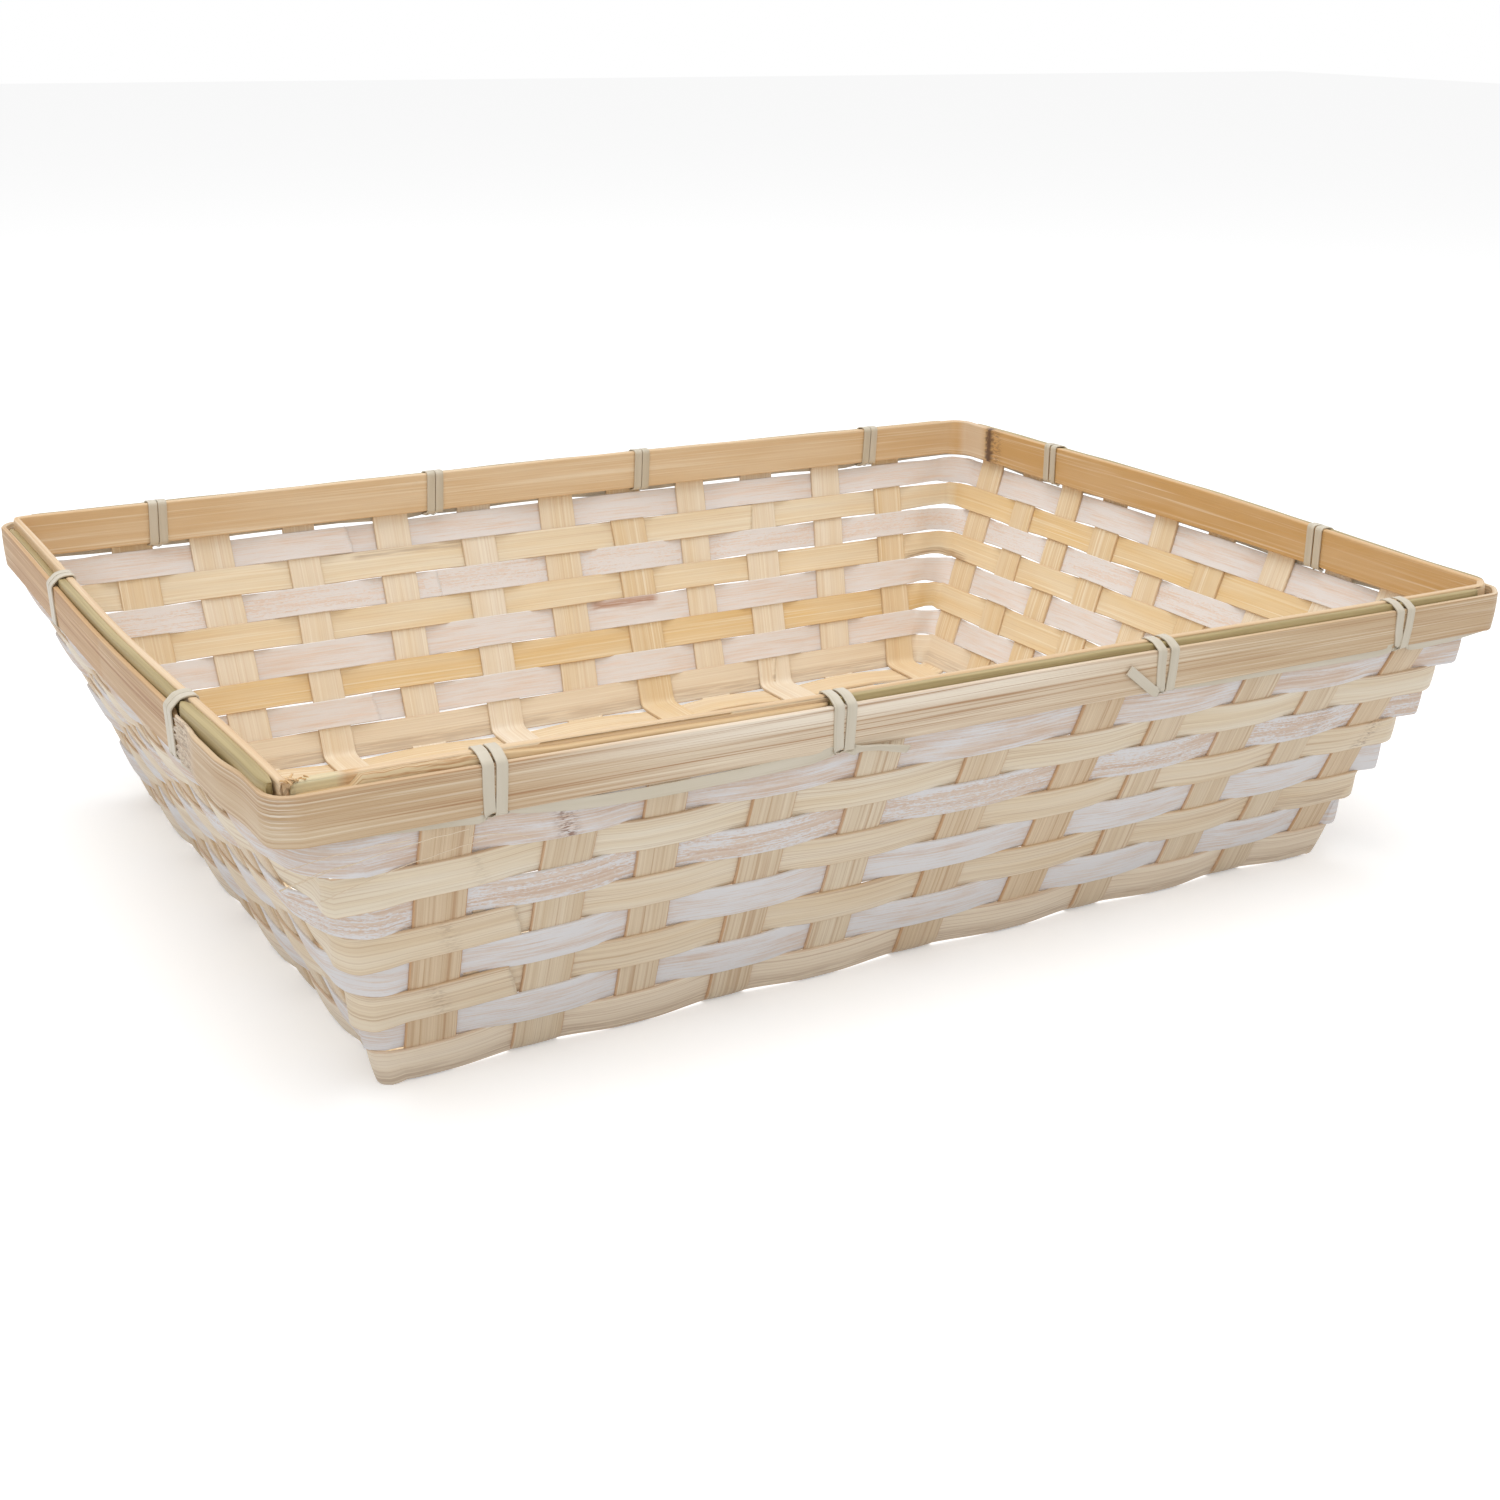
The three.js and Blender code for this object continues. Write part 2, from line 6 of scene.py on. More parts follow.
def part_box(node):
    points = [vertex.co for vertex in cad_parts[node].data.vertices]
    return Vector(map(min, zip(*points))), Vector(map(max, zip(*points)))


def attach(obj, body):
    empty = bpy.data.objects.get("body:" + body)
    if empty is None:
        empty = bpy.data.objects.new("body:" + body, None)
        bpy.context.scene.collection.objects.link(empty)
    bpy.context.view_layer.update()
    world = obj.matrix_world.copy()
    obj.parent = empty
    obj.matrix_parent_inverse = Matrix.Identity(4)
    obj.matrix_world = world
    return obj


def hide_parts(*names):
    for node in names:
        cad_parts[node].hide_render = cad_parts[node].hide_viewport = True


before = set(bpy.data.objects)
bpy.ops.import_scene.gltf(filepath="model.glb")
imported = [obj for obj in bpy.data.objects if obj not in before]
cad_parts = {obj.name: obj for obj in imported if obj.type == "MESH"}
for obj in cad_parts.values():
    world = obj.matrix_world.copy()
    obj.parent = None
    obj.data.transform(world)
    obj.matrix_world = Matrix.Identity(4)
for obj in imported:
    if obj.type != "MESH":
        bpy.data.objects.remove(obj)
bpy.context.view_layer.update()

mm = 0.001
print("frame loaded")

# The whole basket, in millimetres. The stakes' mid surface is what everything else lies against.
basket = {
    "stakeThickness": 1.2,
    "baseHalf": (182.1, 129.6),     # half length and half width of the mid surface at the base
    "bend": 92.0,                   # height at which the stakes turn upright
    "stakeTop": 103.8,
}
basket["outerBottom"], basket["outerTop"] = (corner.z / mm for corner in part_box("rim_outer_slat"))
basket["innerBottom"], basket["innerTop"] = (corner.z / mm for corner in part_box("rim_inner_slat"))
basket["rimHalf"] = (
    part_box("length_stake_05")[1].x / mm - basket["stakeThickness"] / 2,
    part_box("cross_stake_06")[1].y / mm - basket["stakeThickness"] / 2,
)

# Walls in the order front, right, back, left; corner n follows wall n.
wallAlong = np.array([(1, 0), (0, 1), (-1, 0), (0, -1)], float)
wallOut = np.array([(0, -1), (1, 0), (0, 1), (-1, 0)], float)
wallSlope = [
    (basket["rimHalf"][axis] - basket["baseHalf"][axis]) / basket["bend"] for axis in (0, 1)
]


# From 0 to 1 as three x squared less two x cubed, level outside.
def smooth(x):
    x = np.clip(x, 0, 1)
    return x * x * (3 - 2 * x)


# From 0 to 1 while x goes from `start` over a length, and the same from 1 to 0.
def rise(x, start, over):
    return smooth((x - start) / over)


def fall(x, start, over):
    return 1 - rise(x, start, over)


# 1 where x is nought, smoothly down to 0 at `half` on both sides.
def hill(x, half):
    return smooth(1 - np.abs(x) / half)


# Vectors divided by their own lengths.
def unit(vectors):
    return vectors / np.maximum(np.linalg.norm(vectors, axis=-1, keepdims=True), 1e-12)


# Distance along a polyline at each of its points.
def running(points):
    return np.concatenate([[0], np.cumsum(np.linalg.norm(np.diff(points, axis=0), axis=1))])


# Three sines of unlike lengths with seeded phases, about -1 to 1.
def wander(seed, place, wave):
    phase = np.random.default_rng(seed).uniform(0, 2 * np.pi, 3)
    turns = 2 * np.pi * np.asarray(place, float)[..., None] / (wave * np.array([1, 0.47, 2.3]))
    return (np.sin(turns + phase) * [0.5, 0.25, 0.35]).sum(-1)


# The same round a loop whose place t runs from 0 to 8, so both ends meet.
def loopWander(seed, t, waves=(3, 7, 13)):
    phase = np.random.default_rng(seed).uniform(0, 2 * np.pi, 3)
    turns = 2 * np.pi * np.asarray(t, float)[..., None] / 8 * np.array(waves)
    return (np.sin(turns + phase) * [0.4, 0.35, 0.25]).sum(-1)


# Moving mean with a raised-cosine window; the ends are carried on straight.
def soften(values, count):
    window = np.hanning(count + 2)[1:-1]
    window /= window.sum()
    pad = count // 2
    first = values[:1] - (values[1:2] - values[:1]) * np.arange(pad, 0, -1)[:, None]
    last = values[-1:] + (values[-1:] - values[-2:-1]) * np.arange(1, pad + 1)[:, None]
    longer = np.vstack([first, values, last])
    return np.stack([np.convolve(longer[:, k], window, "valid") for k in range(values.shape[1])], 1)


# Points at an even step along a polyline, with any columns after the third carried along.
def resample(values, step):
    distance = running(values[:, :3])
    places = np.linspace(0, distance[-1], int(distance[-1] / step) + 2)
    return np.stack([np.interp(places, distance, values[:, k]) for k in range(values.shape[1])], 1)


# Values held level for `half` on both sides of each place and eased from one to the next.
def heldKnots(places, values, half):
    return (places[:, None] + [-half, half]).ravel(), np.repeat(values, 2)


# The value at x, with a smooth step from each knot to the next.
def eased(x, knots, values):
    cell = np.clip(np.searchsorted(knots, x, "right") - 1, 0, len(knots) - 2)
    share = (x - knots[cell]) / (knots[cell + 1] - knots[cell])
    return values[cell] + (values[cell + 1] - values[cell]) * smooth(share)


# Half length or half width of the stakes' mid surface, which grows evenly up to the bend.
def halfAt(axis, z):
    share = np.minimum(np.asarray(z) / basket["bend"], 1)
    return basket["baseHalf"][axis] + (basket["rimHalf"][axis] - basket["baseHalf"][axis]) * share


# A rounded rectangle as a loop: t from 0 to 8, where even whole numbers start a wall and odd
# ones a corner. Gives the level place and the level direction that faces outwards.
def loopPlace(t, halfX, halfY, radii):
    t = np.mod(t, 8)
    part = np.floor(t).astype(int)
    share = (t - part)[..., None]
    wall = part // 2
    isWall = (part % 2 == 0)[..., None]
    lengthwise = wall % 2 == 0
    radii = np.asarray(radii, float)
    halfAlong = np.where(lengthwise, halfX, halfY)[..., None]
    halfOut = np.where(lengthwise, halfY, halfX)[..., None]
    before, radius = radii[wall - 1][..., None], radii[wall][..., None]
    straight = -halfAlong + before + share * (2 * halfAlong - before - radius)
    s = np.where(isWall, straight, halfAlong - radius)
    angle = np.where(isWall, 0, share * np.pi / 2)
    facing = wallOut[wall] * np.cos(angle) + wallAlong[wall] * np.sin(angle)
    centre = wallAlong[wall] * s + wallOut[wall] * np.where(isWall, halfOut, halfOut - radius)
    return centre + facing * np.where(isWall, 0, radius), facing


# Where each of the loop's eight stretches starts, and its whole length last.
def loopStarts(halfX, halfY, radii):
    lengths = []
    for wall in range(4):
        half = (halfX, halfY)[wall % 2]
        lengths += [2 * half - radii[wall - 1] - radii[wall], radii[wall] * np.pi / 2]
    return np.concatenate([[0], np.cumsum(lengths)])


# Distance along the loop to a place s on a wall, counted from the wall's middle.
def loopDistance(starts, wall, s, radii):
    return (starts[2 * wall] + starts[2 * wall + 1] + radii[wall] - radii[wall - 1]) / 2 + s


def loopT(distance, starts):
    rounds = np.floor(distance / starts[-1])
    return np.interp(distance - rounds * starts[-1], starts, np.arange(9)) + 8 * rounds


# How far two places on a loop are from each other, the shorter way round.
def apart(distance, place, around):
    return np.abs(np.mod(distance - place + around / 2, around) - around / 2)


# A value given wall by wall (front, right, back, left), changing over the corners.
def wallByWall(values, t):
    front, right, back, left = values
    return np.interp(np.mod(t, 8), range(9), (front, front, right, right, back, back, left, left, front))


# The real basket isn't quite regular: its rim dips at the front and left, and its walls belly.
# Each list runs front-left corner, front, front-right, right, back-right, back, back-left, left.
lean = {
    "rimDip": (1.0, -0.9, -1.9, 0.7, -0.4, 0.5, 0.2, -0.2),
    "rimOut": (0, 0.3, 2.2, 0.4, 0, 0, 0, 2.2),
    "belly": (0, 0.3, 0, 1.2, 0, 0.5, 0, 0.8),
    "footOut": (1.0, 0, 0, 0, 0, 0, 2.4, 2.2),
    "dipPower": 5,                  # the dip grows with this power of the height
    "rimOutRise": (40, 60),         # height from which the rim's stretch counts, and its ease
    "footOutHeight": 45,            # height up to which the foot's stretch counts
    "wallRise": (0.8, 0.15),        # share of the half width from which a place is wall, and ease
}


# Eight values round the basket at the bearing of x and y, with a smooth step between two.
def roundTheLoop(values, x, y):
    u, v = x / basket["rimHalf"][0], y / basket["rimHalf"][1]
    reach = np.maximum(np.maximum(np.abs(u), np.abs(v)), 1e-6)
    u, v = u / reach, v / reach
    onWall = 0.9999
    front, right, back = v <= -onWall, u >= onWall, v >= onWall
    place = np.where(front, 1 + u, np.where(right, 3 + v, np.where(back, 5 - u, 7 - v)))
    place = np.mod(place, 8)
    low = np.floor(place).astype(int)
    share = smooth(place - low)
    values = np.array(values)
    return values[low % 8] * (1 - share) + values[(low + 1) % 8] * share


# Points of a regular basket moved to where the real one has them: up or down by the rim's dip
# times a power of the height, and outwards by the rim's and the foot's stretch and the belly,
# which is a half sine over the height.
def settle(points):
    shaped = points.copy()
    x, y, z = points[..., 0], points[..., 1], points[..., 2]
    height = np.clip(z / basket["outerTop"], 0, 1.1)
    reachX, reachY = np.abs(x) / halfAt(0, z), np.abs(y) / halfAt(1, z)
    atWall = rise(np.maximum(reachX, reachY), *lean["wallRise"])
    shaped[..., 2] += roundTheLoop(lean["rimDip"], x, y) * height ** lean["dipPower"] * atWall
    wave = np.sin(np.pi * np.clip(z / basket["bend"], 0, 1))
    out = roundTheLoop(lean["rimOut"], x, y) * rise(z, *lean["rimOutRise"])
    out = out + roundTheLoop(lean["footOut"], x, y) * fall(z, 0, lean["footOutHeight"])
    out = (out + roundTheLoop(lean["belly"], x, y) * wave) * atWall
    shaped[..., 0] += np.where(reachX > reachY, np.sign(x) * out, 0)
    shaped[..., 1] += np.where(reachX > reachY, 0, np.sign(y) * out)
    return shaped


# Section of a flat strip, anticlockwise: outer face, upper edge, inner face, lower edge. Each
# point is a share of the half width and a shift, then a share of the half thickness and a shift.
# The faces are flat up to the share `flat`, which leaves room for the rounding.
def stripSection(facePoints, rounding, dome=0.0, cup=0.0, flat=0.93):
    k = np.concatenate([[-1], np.linspace(-flat, flat, facePoints - 2), [1]])
    ends = np.where(np.abs(k) == 1, -np.sign(k) * rounding, 0)
    crown = 1 - k * k
    outer = np.stack([k, ends, np.ones_like(k), (dome + cup) * crown], 1)
    inner = np.stack([k, ends, -np.ones_like(k), cup * crown], 1)[::-1]
    turn = np.radians([45, 90])
    side, drop = (np.sin(turn) - 1) * rounding, (np.cos(turn) - 1) * rounding
    one = np.ones(2)
    upper = np.vstack([np.stack([one, side, one, drop], 1), np.stack([one, side, -one, -drop], 1)[::-1]])
    lower = upper[::-1] * [-1, -1, 1, 1]
    sides = np.concatenate([np.ones(facePoints), np.zeros(4), -np.ones(facePoints), np.zeros(4)])
    return np.vstack([outer, upper, inner, lower]), sides


# Rings of points joined into a closed tube with a flat face at each end, all facing outwards.
# The UV "grain" is the distance along the strip and round its section.
def tubeMesh(name, points, along, ringPlace):
    count, around = points.shape[:2]
    i, j = (grid.ravel() for grid in np.meshgrid(range(count - 1), range(around), indexing="ij"))
    after = (j + 1) % around
    quads = np.stack([i * around + j, (i + 1) * around + j, (i + 1) * around + after, i * around + after], 1)
    corners = ((i, j), (i + 1, j), (i + 1, j + 1), (i, j + 1))
    quadUv = np.stack([np.stack([along[ring], ringPlace[point]], 1) for ring, point in corners], 1)
    flat = points.reshape(-1, 3)
    p0, p1, p2, p3 = (flat[quads[:, k]] for k in range(4))
    volume = (np.cross(p0, p1) * p2).sum() + (np.cross(p0, p2) * p3).sum()
    firstCap = np.arange(around)
    lastCap = (count - 1) * around + np.arange(around)[::-1]
    if volume < 0:
        quads, quadUv = quads[:, ::-1], quadUv[:, ::-1]
        firstCap, lastCap = firstCap[::-1], lastCap[::-1]
    loops = np.concatenate([quads.ravel(), firstCap, lastCap])
    capUv = np.stack([np.repeat([along[0], along[-1]], around), np.tile(ringPlace[:-1], 2)], 1)
    uv = np.concatenate([quadUv.reshape(-1, 2), capUv]) * mm
    sizes = np.concatenate([np.full(len(quads), 4), [around, around]])
    loopStart = np.concatenate([[0], np.cumsum(sizes)[:-1]])
    rounded = np.concatenate([np.ones(len(quads)), [0, 0]])

    mesh = bpy.data.meshes.new(name)
    mesh.vertices.add(len(flat))
    mesh.vertices.foreach_set("co", (flat * mm).ravel())
    mesh.loops.add(len(loops))
    mesh.loops.foreach_set("vertex_index", loops.astype(np.int32))
    mesh.polygons.add(len(sizes))
    mesh.polygons.foreach_set("loop_start", loopStart.astype(np.int32))
    mesh.polygons.foreach_set("use_smooth", rounded.astype(bool))
    mesh.update(calc_edges=True)
    mesh.uv_layers.new(name="grain").data.foreach_set("uv", uv.astype(np.float32).ravel())
    return mesh


pieceCount = 0
grainShift = 137.0      # from one piece to the next, so that no two show the same grain
raggedSeed, raggedWave = 500, 2.6


# Closed strip along a path: each point is the path's middle plus a times `across` plus b times
# `out`, where a and b run round the section. `relief` adds to b, `marks` are further values for
# the finish, and `ragged` says how far the fibres stand out at the two ends.
def makeStrip(name, centre, across, out, width, thickness, section, finish, node,
              relief=None, marks=None, ragged=(0, 0)):
    global pieceCount
    pieceCount += 1
    shape, sides = section
    count, around = len(centre), len(shape)
    a = shape[:, 0] * np.broadcast_to(width, count)[:, None] / 2 + shape[:, 1]
    b = shape[:, 2] * np.broadcast_to(thickness, count)[:, None] / 2 + shape[:, 3]
    if relief is not None:
        b = b + relief(a) * sides
    points = centre[:, None] + across[:, None] * a[..., None] + out[:, None] * b[..., None]
    for end, other, amount in ((0, 1, ragged[0]), (-1, -2, ragged[1])):
        outwards = unit(centre[end] - centre[other])
        points[end] += outwards * (amount * wander(raggedSeed + pieceCount, a[end], raggedWave))[:, None]
    along = running(centre) + grainShift * pieceCount
    ring = np.stack([a.mean(0), b.mean(0)], 1)
    mesh = tubeMesh(name, settle(points), along, running(np.vstack([ring, ring[:1]])))
    values = {"side": np.tile(sides, count), "edge": np.tile(np.abs(shape[:, 0]), count)}
    for key, value in (marks or {}).items():
        value = np.asarray(value, float)
        values[key] = np.broadcast_to(value[:, None] if value.ndim == 1 else value, (count, around)).ravel()
    for key, value in values.items():
        attribute = mesh.attributes.new(key, "FLOAT", "POINT")
        attribute.data.foreach_set("value", np.ascontiguousarray(value, np.float32))
    mesh.materials.append(finish)
    piece = bpy.data.objects.new(name, mesh)
    bpy.context.scene.collection.objects.link(piece)
    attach(piece, "root")
    if node:
        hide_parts(node)


# Nodes of one material. Most calls add nodes and give the output of the last one.
class Finish:
    def __init__(self, name, roughness, specular=0.4):
        self.material = bpy.data.materials.new(name)
        self.material.use_nodes = True
        self.tree = self.material.node_tree
        self.shader = self.tree.nodes["Principled BSDF"]
        self.shader.inputs["Roughness"].default_value = roughness
        self.shader.inputs["Specular IOR Level"].default_value = specular
        self.place = self.add("UVMap", uv_map="grain").outputs["UV"]
        self.seed = 0.0

    def add(self, kind, **settings):
        node = self.tree.nodes.new("ShaderNode" + kind)
        for key, value in settings.items():
            setattr(node, key, value)
        return node

    def put(self, socket, value):
        if isinstance(value, bpy.types.NodeSocket):
            self.tree.links.new(value, socket)
        else:
            socket.default_value = value

    # Noise drawn out along the strip: feature lengths along and across, in millimetres.
    def fibre(self, along, across, detail=2.0, roughness=0.5, bent=0.0):
        self.seed += 3.7
        spread = self.add("VectorMath", operation="MULTIPLY_ADD")
        self.put(spread.inputs[0], self.place)
        spread.inputs[1].default_value = (1 / (along * mm), 1 / (across * mm), 0)
        spread.inputs[2].default_value = (self.seed, self.seed * 1.7, self.seed)
        noise = self.add("TexNoise")
        self.put(noise.inputs["Vector"], spread.outputs[0])
        for key, value in (("Scale", 1), ("Detail", detail), ("Roughness", roughness), ("Distortion", bent)):
            noise.inputs[key].default_value = value
        return noise.outputs["Fac"]

    def mark(self, name):
        return self.add("Attribute", attribute_name=name).outputs["Fac"]

    def math(self, operation, a, b):
        node = self.add("Math", operation=operation)
        self.put(node.inputs[0], a)
        self.put(node.inputs[1], b)
        return node.outputs[0]

    def plus(self, a, b):
        return self.math("ADD", a, b)

    def minus(self, a, b):
        return self.math("SUBTRACT", a, b)

    def times(self, a, b):
        return self.math("MULTIPLY", a, b)

    # The value's stretch from `low` to `high` spread over 0 to `top`.
    def between(self, value, low, high, top=1.0):
        node = self.add("MapRange")
        self.put(node.inputs["Value"], value)
        for key, limit in (("From Min", low), ("From Max", high), ("To Max", top)):
            node.inputs[key].default_value = limit
        return node.outputs["Result"]

    # A mark broken up by noise of the given lengths.
    def broken(self, mark, along, across, roughness, low, high, top=1.0):
        noise = self.between(self.fibre(along, across, 3, roughness), low, high, top)
        return self.times(self.mark(mark), noise)

    def mix(self, share, a, b, blend="MIX"):
        node = self.add("Mix", data_type="RGBA", blend_type=blend)
        self.put(node.inputs["Factor"], share)
        self.put(node.inputs["A"], a)
        self.put(node.inputs["B"], b)
        return node.outputs["Result"]

    # Further colours laid over the first, each by its share.
    def layers(self, colour, *over):
        for share, above in over:
            colour = self.mix(share, colour, above)
        return colour

    def done(self, colour, height, depth):
        self.put(self.shader.inputs["Base Color"], colour)
        bump = self.add("Bump")
        bump.inputs["Strength"].default_value = 1.0
        bump.inputs["Distance"].default_value = depth * mm
        self.put(bump.inputs["Height"], height)
        self.put(self.shader.inputs["Normal"], bump.outputs["Normal"])
        return self.material


# A colour from its 0 to 255 values as they look on a screen.
def paint(red, green, blue):
    share = np.array([red, green, blue]) / 255
    linear = np.where(share <= 0.04045, share / 12.92, ((share + 0.055) / 1.055) ** 2.4)
    return (*[float(c) for c in linear], 1.0)


# Bare bamboo. Outside: a pale and a tan tone with brown and pale fibre lines. Inside: a pale and
# a golden tone with pale lines. `lines` is how strong they are, `stripe` how wide, and more
# octaves break them up. `sawnShade` is how brown the sawn sides are. This is their own tone plus painted
# shade, the shade in the gaps where a splint passes behind a stake, less so by the mark "dull". The
# mark "gold" warms a piece, and "pale" makes it paler under its lines. That is bleached bamboo,
# painted light on the bottom row and painted highlights on the outer slat's crinkles. "green" leaves
# some skin on it, and "streak", "stain" and "node" are brown places.
def bambooFinish(name, outside, inside, lines, stripe, depth, sawnShade, octaves, roughness=0.5):
    f = Finish(name, roughness)
    even = f.minus(f.between(f.fibre(110, stripe, octaves, 0.55), 0.34, 0.66, 2.0), 1.0)
    here = f.between(f.fibre(200, stripe * 2.5), 0.35, 0.62)
    thin = f.fibre(120, stripe * 0.45)
    fine = f.fibre(50, 0.3)
    tone = f.between(f.fibre(80, 5), 0.32, 0.68)
    patches = f.between(f.fibre(55, 7), 0.35, 0.7, 0.35)
    # The mark "pale" lays a paler tone under the lines. It stands for bleached bamboo, painted light on the
    # bottom row and painted highlights on the outer slat's crinkles.
    gold, bleachedAndLit = f.mark("gold"), (f.mark("pale"), paint(236, 224, 206))
    dark = f.times(f.between(even, 0.2, 0.95, lines), here)
    light = f.times(f.between(even, -0.1, -0.9, lines), here)
    outer = f.layers(
        f.mix(tone, *outside), bleachedAndLit, (dark, paint(170, 130, 92)),
        (f.between(thin, 0.54, 0.7, lines * 0.7), paint(164, 122, 84)),
        (f.between(even, -0.3, -0.95, lines * 0.45), paint(240, 228, 206)))
    outer = f.mix(f.times(gold, 0.3), outer, paint(232, 200, 156), "MULTIPLY")
    inner = f.layers(
        f.mix(f.plus(f.times(gold, 0.75), patches), *inside), bleachedAndLit,
        (f.times(dark, 0.35), paint(202, 156, 104)), (light, paint(250, 240, 220)))
    # Painted shade: the sawn sides are browner. This is partly their own tone and partly the shade that
    # falls in the gaps where a splint passes behind a stake.
    sawnAndShaded = f.times(f.between(f.mark("edge"), 0.955, 1.0, sawnShade), f.minus(1.0, f.mark("lessSawnShade")))
    colour = f.layers(
        f.mix(f.between(f.mark("side"), 0.3, -0.3), outer, inner),
        (f.mark("green"), paint(214, 207, 166)), (sawnAndShaded, paint(186, 134, 86)),
        (f.between(fine, 0.55, 0.8, 0.3), paint(184, 144, 102)),
        (f.broken("streak", 22, 0.8, 0.6, 0.36, 0.56), paint(140, 98, 62)),
        (f.broken("stain", 2.6, 0.55, 0.7, 0.47, 0.6), paint(118, 84, 60)),
        (f.broken("node", 0.8, 4.5, 0.6, 0.22, 0.42), paint(100, 74, 58)))
    height = f.plus(f.times(fine, 0.6), f.times(even, -0.3))
    return f.done(colour, f.plus(height, f.times(thin, 0.6)), depth)


# White wash brushed thinly over pinkish wood, so the grain shows through in streaks. It's
# thicker along the edges. `cover` is how much it hides, `rough` how grainy it is, `contrast` how
# softly wash and wood meet, and `inner` how much more wood shows inside.
def limedFinish(name, cover, rough, contrast, inner):
    f = Finish(name, 0.7, 0.25)
    woodTone = f.between(f.fibre(60, 0.9, 3, 0.6), 0.35, 0.65)
    within = f.between(f.mark("side"), 0.5, -0.5)
    wood = f.mix(within, f.mix(woodTone, paint(218, 202, 188), paint(204, 178, 158)),
                 f.mix(woodTone, paint(233, 217, 206), paint(223, 201, 183)))
    streaks = f.fibre(20, 0.5, 4, 0.62)
    patches = f.fibre(30, 5.0, 3, 0.55)
    grainy = f.fibre(1.7, 0.45, 3, 0.65, 0.6)
    wash = f.plus(f.times(streaks, 0.6), f.times(patches, 0.45))
    wash = f.plus(wash, f.times(f.minus(grainy, 0.5), rough))
    wash = f.minus(wash, f.between(f.mark("edge"), 0.6, 1.0, 0.09))
    wash = f.plus(wash, f.times(within, inner))
    bare = f.between(wash, 0.5 + cover - contrast, 0.5 + cover + contrast)
    white = f.mix(within, paint(221, 219, 220), paint(231, 225, 222))
    colour = f.layers(
        white, (bare, wood), (f.broken("streak", 18, 1.2, 0.6, 0.3, 0.5), paint(176, 128, 98)),
        (f.times(f.broken("stain", 2.4, 0.5, 0.7, 0.46, 0.57), 0.85), paint(126, 86, 62)))
    return f.done(colour, f.plus(f.times(grainy, 0.4 + rough), streaks), 0.06)


# Bamboo with its skin on: olive green where the skin is left, golden where it is split off.
def skinFinish():
    f = Finish("skinBamboo", 0.5, 0.4)
    tone = f.between(f.fibre(60, 2.0), 0.3, 0.7)
    olive = f.mix(tone, paint(184, 166, 120), paint(158, 140, 94))
    gold = f.mix(tone, paint(216, 188, 146), paint(198, 164, 120))
    skin = f.between(f.plus(f.mark("skin"), f.times(f.fibre(25, 0.8, 3), 0.5)), 0.7, 0.85)
    lines = f.fibre(120, 0.4, 3, 0.6)
    colour = f.layers(
        f.mix(skin, gold, olive), (f.between(lines, 0.5, 0.7, 0.5), paint(140, 112, 72)),
        (f.mark("pale"), paint(224, 216, 182)),
        (f.broken("streak", 16, 0.5, 0.6, 0.45, 0.6, 0.8), paint(172, 122, 74)))
    return f.done(colour, lines, 0.05)


# Smooth flat binding strip, beige grey with faint lengthwise lines.
def bindingFinish():
    f = Finish("bindingStrip", 0.38, 0.45)
    lines = f.fibre(160, 0.35, 3, 0.55)
    tone = f.between(f.fibre(40, 3), 0.3, 0.7)
    colour = f.mix(tone, paint(208, 199, 182), paint(197, 187, 167))
    colour = f.mix(f.between(lines, 0.55, 0.75, 0.3), colour, paint(178, 165, 142))
    return f.done(colour, lines, 0.02)


stakeFinish = bambooFinish(
    "stakeBamboo", (paint(218, 203, 179), paint(208, 189, 161)),
    (paint(237, 225, 206), paint(226, 200, 158)),
    lines=0.5, stripe=0.8, depth=0.04, sawnShade=0.58, octaves=1)
naturalFinish = bambooFinish(
    "naturalBamboo", (paint(228, 218, 199), paint(220, 203, 175)),
    (paint(236, 223, 198), paint(229, 195, 137)),
    lines=0.5, stripe=0.85, depth=0.05, sawnShade=0.35, octaves=2)
limedSoft = limedFinish("limedBamboo", cover=0.085, rough=0.14, contrast=0.1, inner=0.03)
limedThin = limedFinish("limedThinBamboo", cover=0.0, rough=0.18, contrast=0.09, inner=-0.06)
limedRough = limedFinish("limedRoughBamboo", cover=0.01, rough=0.55, contrast=0.05, inner=-0.05)
outerFinish = bambooFinish(
    "outerSlatBamboo", (paint(207, 184, 152), paint(193, 164, 128)),
    (paint(230, 208, 174), paint(216, 182, 136)),
    lines=0.95, stripe=0.8, depth=0.12, sawnShade=0.1, octaves=3)
innerFinish = bambooFinish(
    "innerSlatBamboo", (paint(230, 208, 174), paint(220, 190, 148)),
    (paint(228, 204, 170), paint(206, 164, 106)),
    lines=0.4, stripe=0.8, depth=0.06, sawnShade=0.1, octaves=3, roughness=0.45)
skinBamboo = skinFinish()
bindingStrip = bindingFinish()
print("finishes ready")

# Cross stakes run from front to back, length stakes from left to right. Their places on the other
# axis are taken at the foot of the first and last wall and at the height `measuredAt`.
measuredAt = 86.0
crossStakes = {
    "axis": 1,
    "firstTop": (-175.5, -137, -108.3, -71, -36.4, 6.2, 47.2, 80.1, 115.2, 148.2, 181.5),
    "firstFoot": (-173, -138.4, -106, -71.6, -38, 0.2, 38.8, 72.9, 107.5, 138.5, 168.7),
    "lastFoot": (-172, -140.5, -106.4, -68.2, -31.5, 4.2, 40.9, 68.8, 101, 134.5, 169.5),
    "lastTop": (-176, -145, -108.4, -69.3, -31.4, 6.6, 39.6, 72.3, 106.9, 143.7, 177.4),
    "width": (16, 16.2, 13.6, 15.1, 15.1, 16.4, 16.3, 14.2, 16.3, 15, 14.6),
    "gold": (0.9, 0.2, 0.4, 0.2, 0, 0.6, 1, 0.4, 0.2, 0.1, 0.9),
}
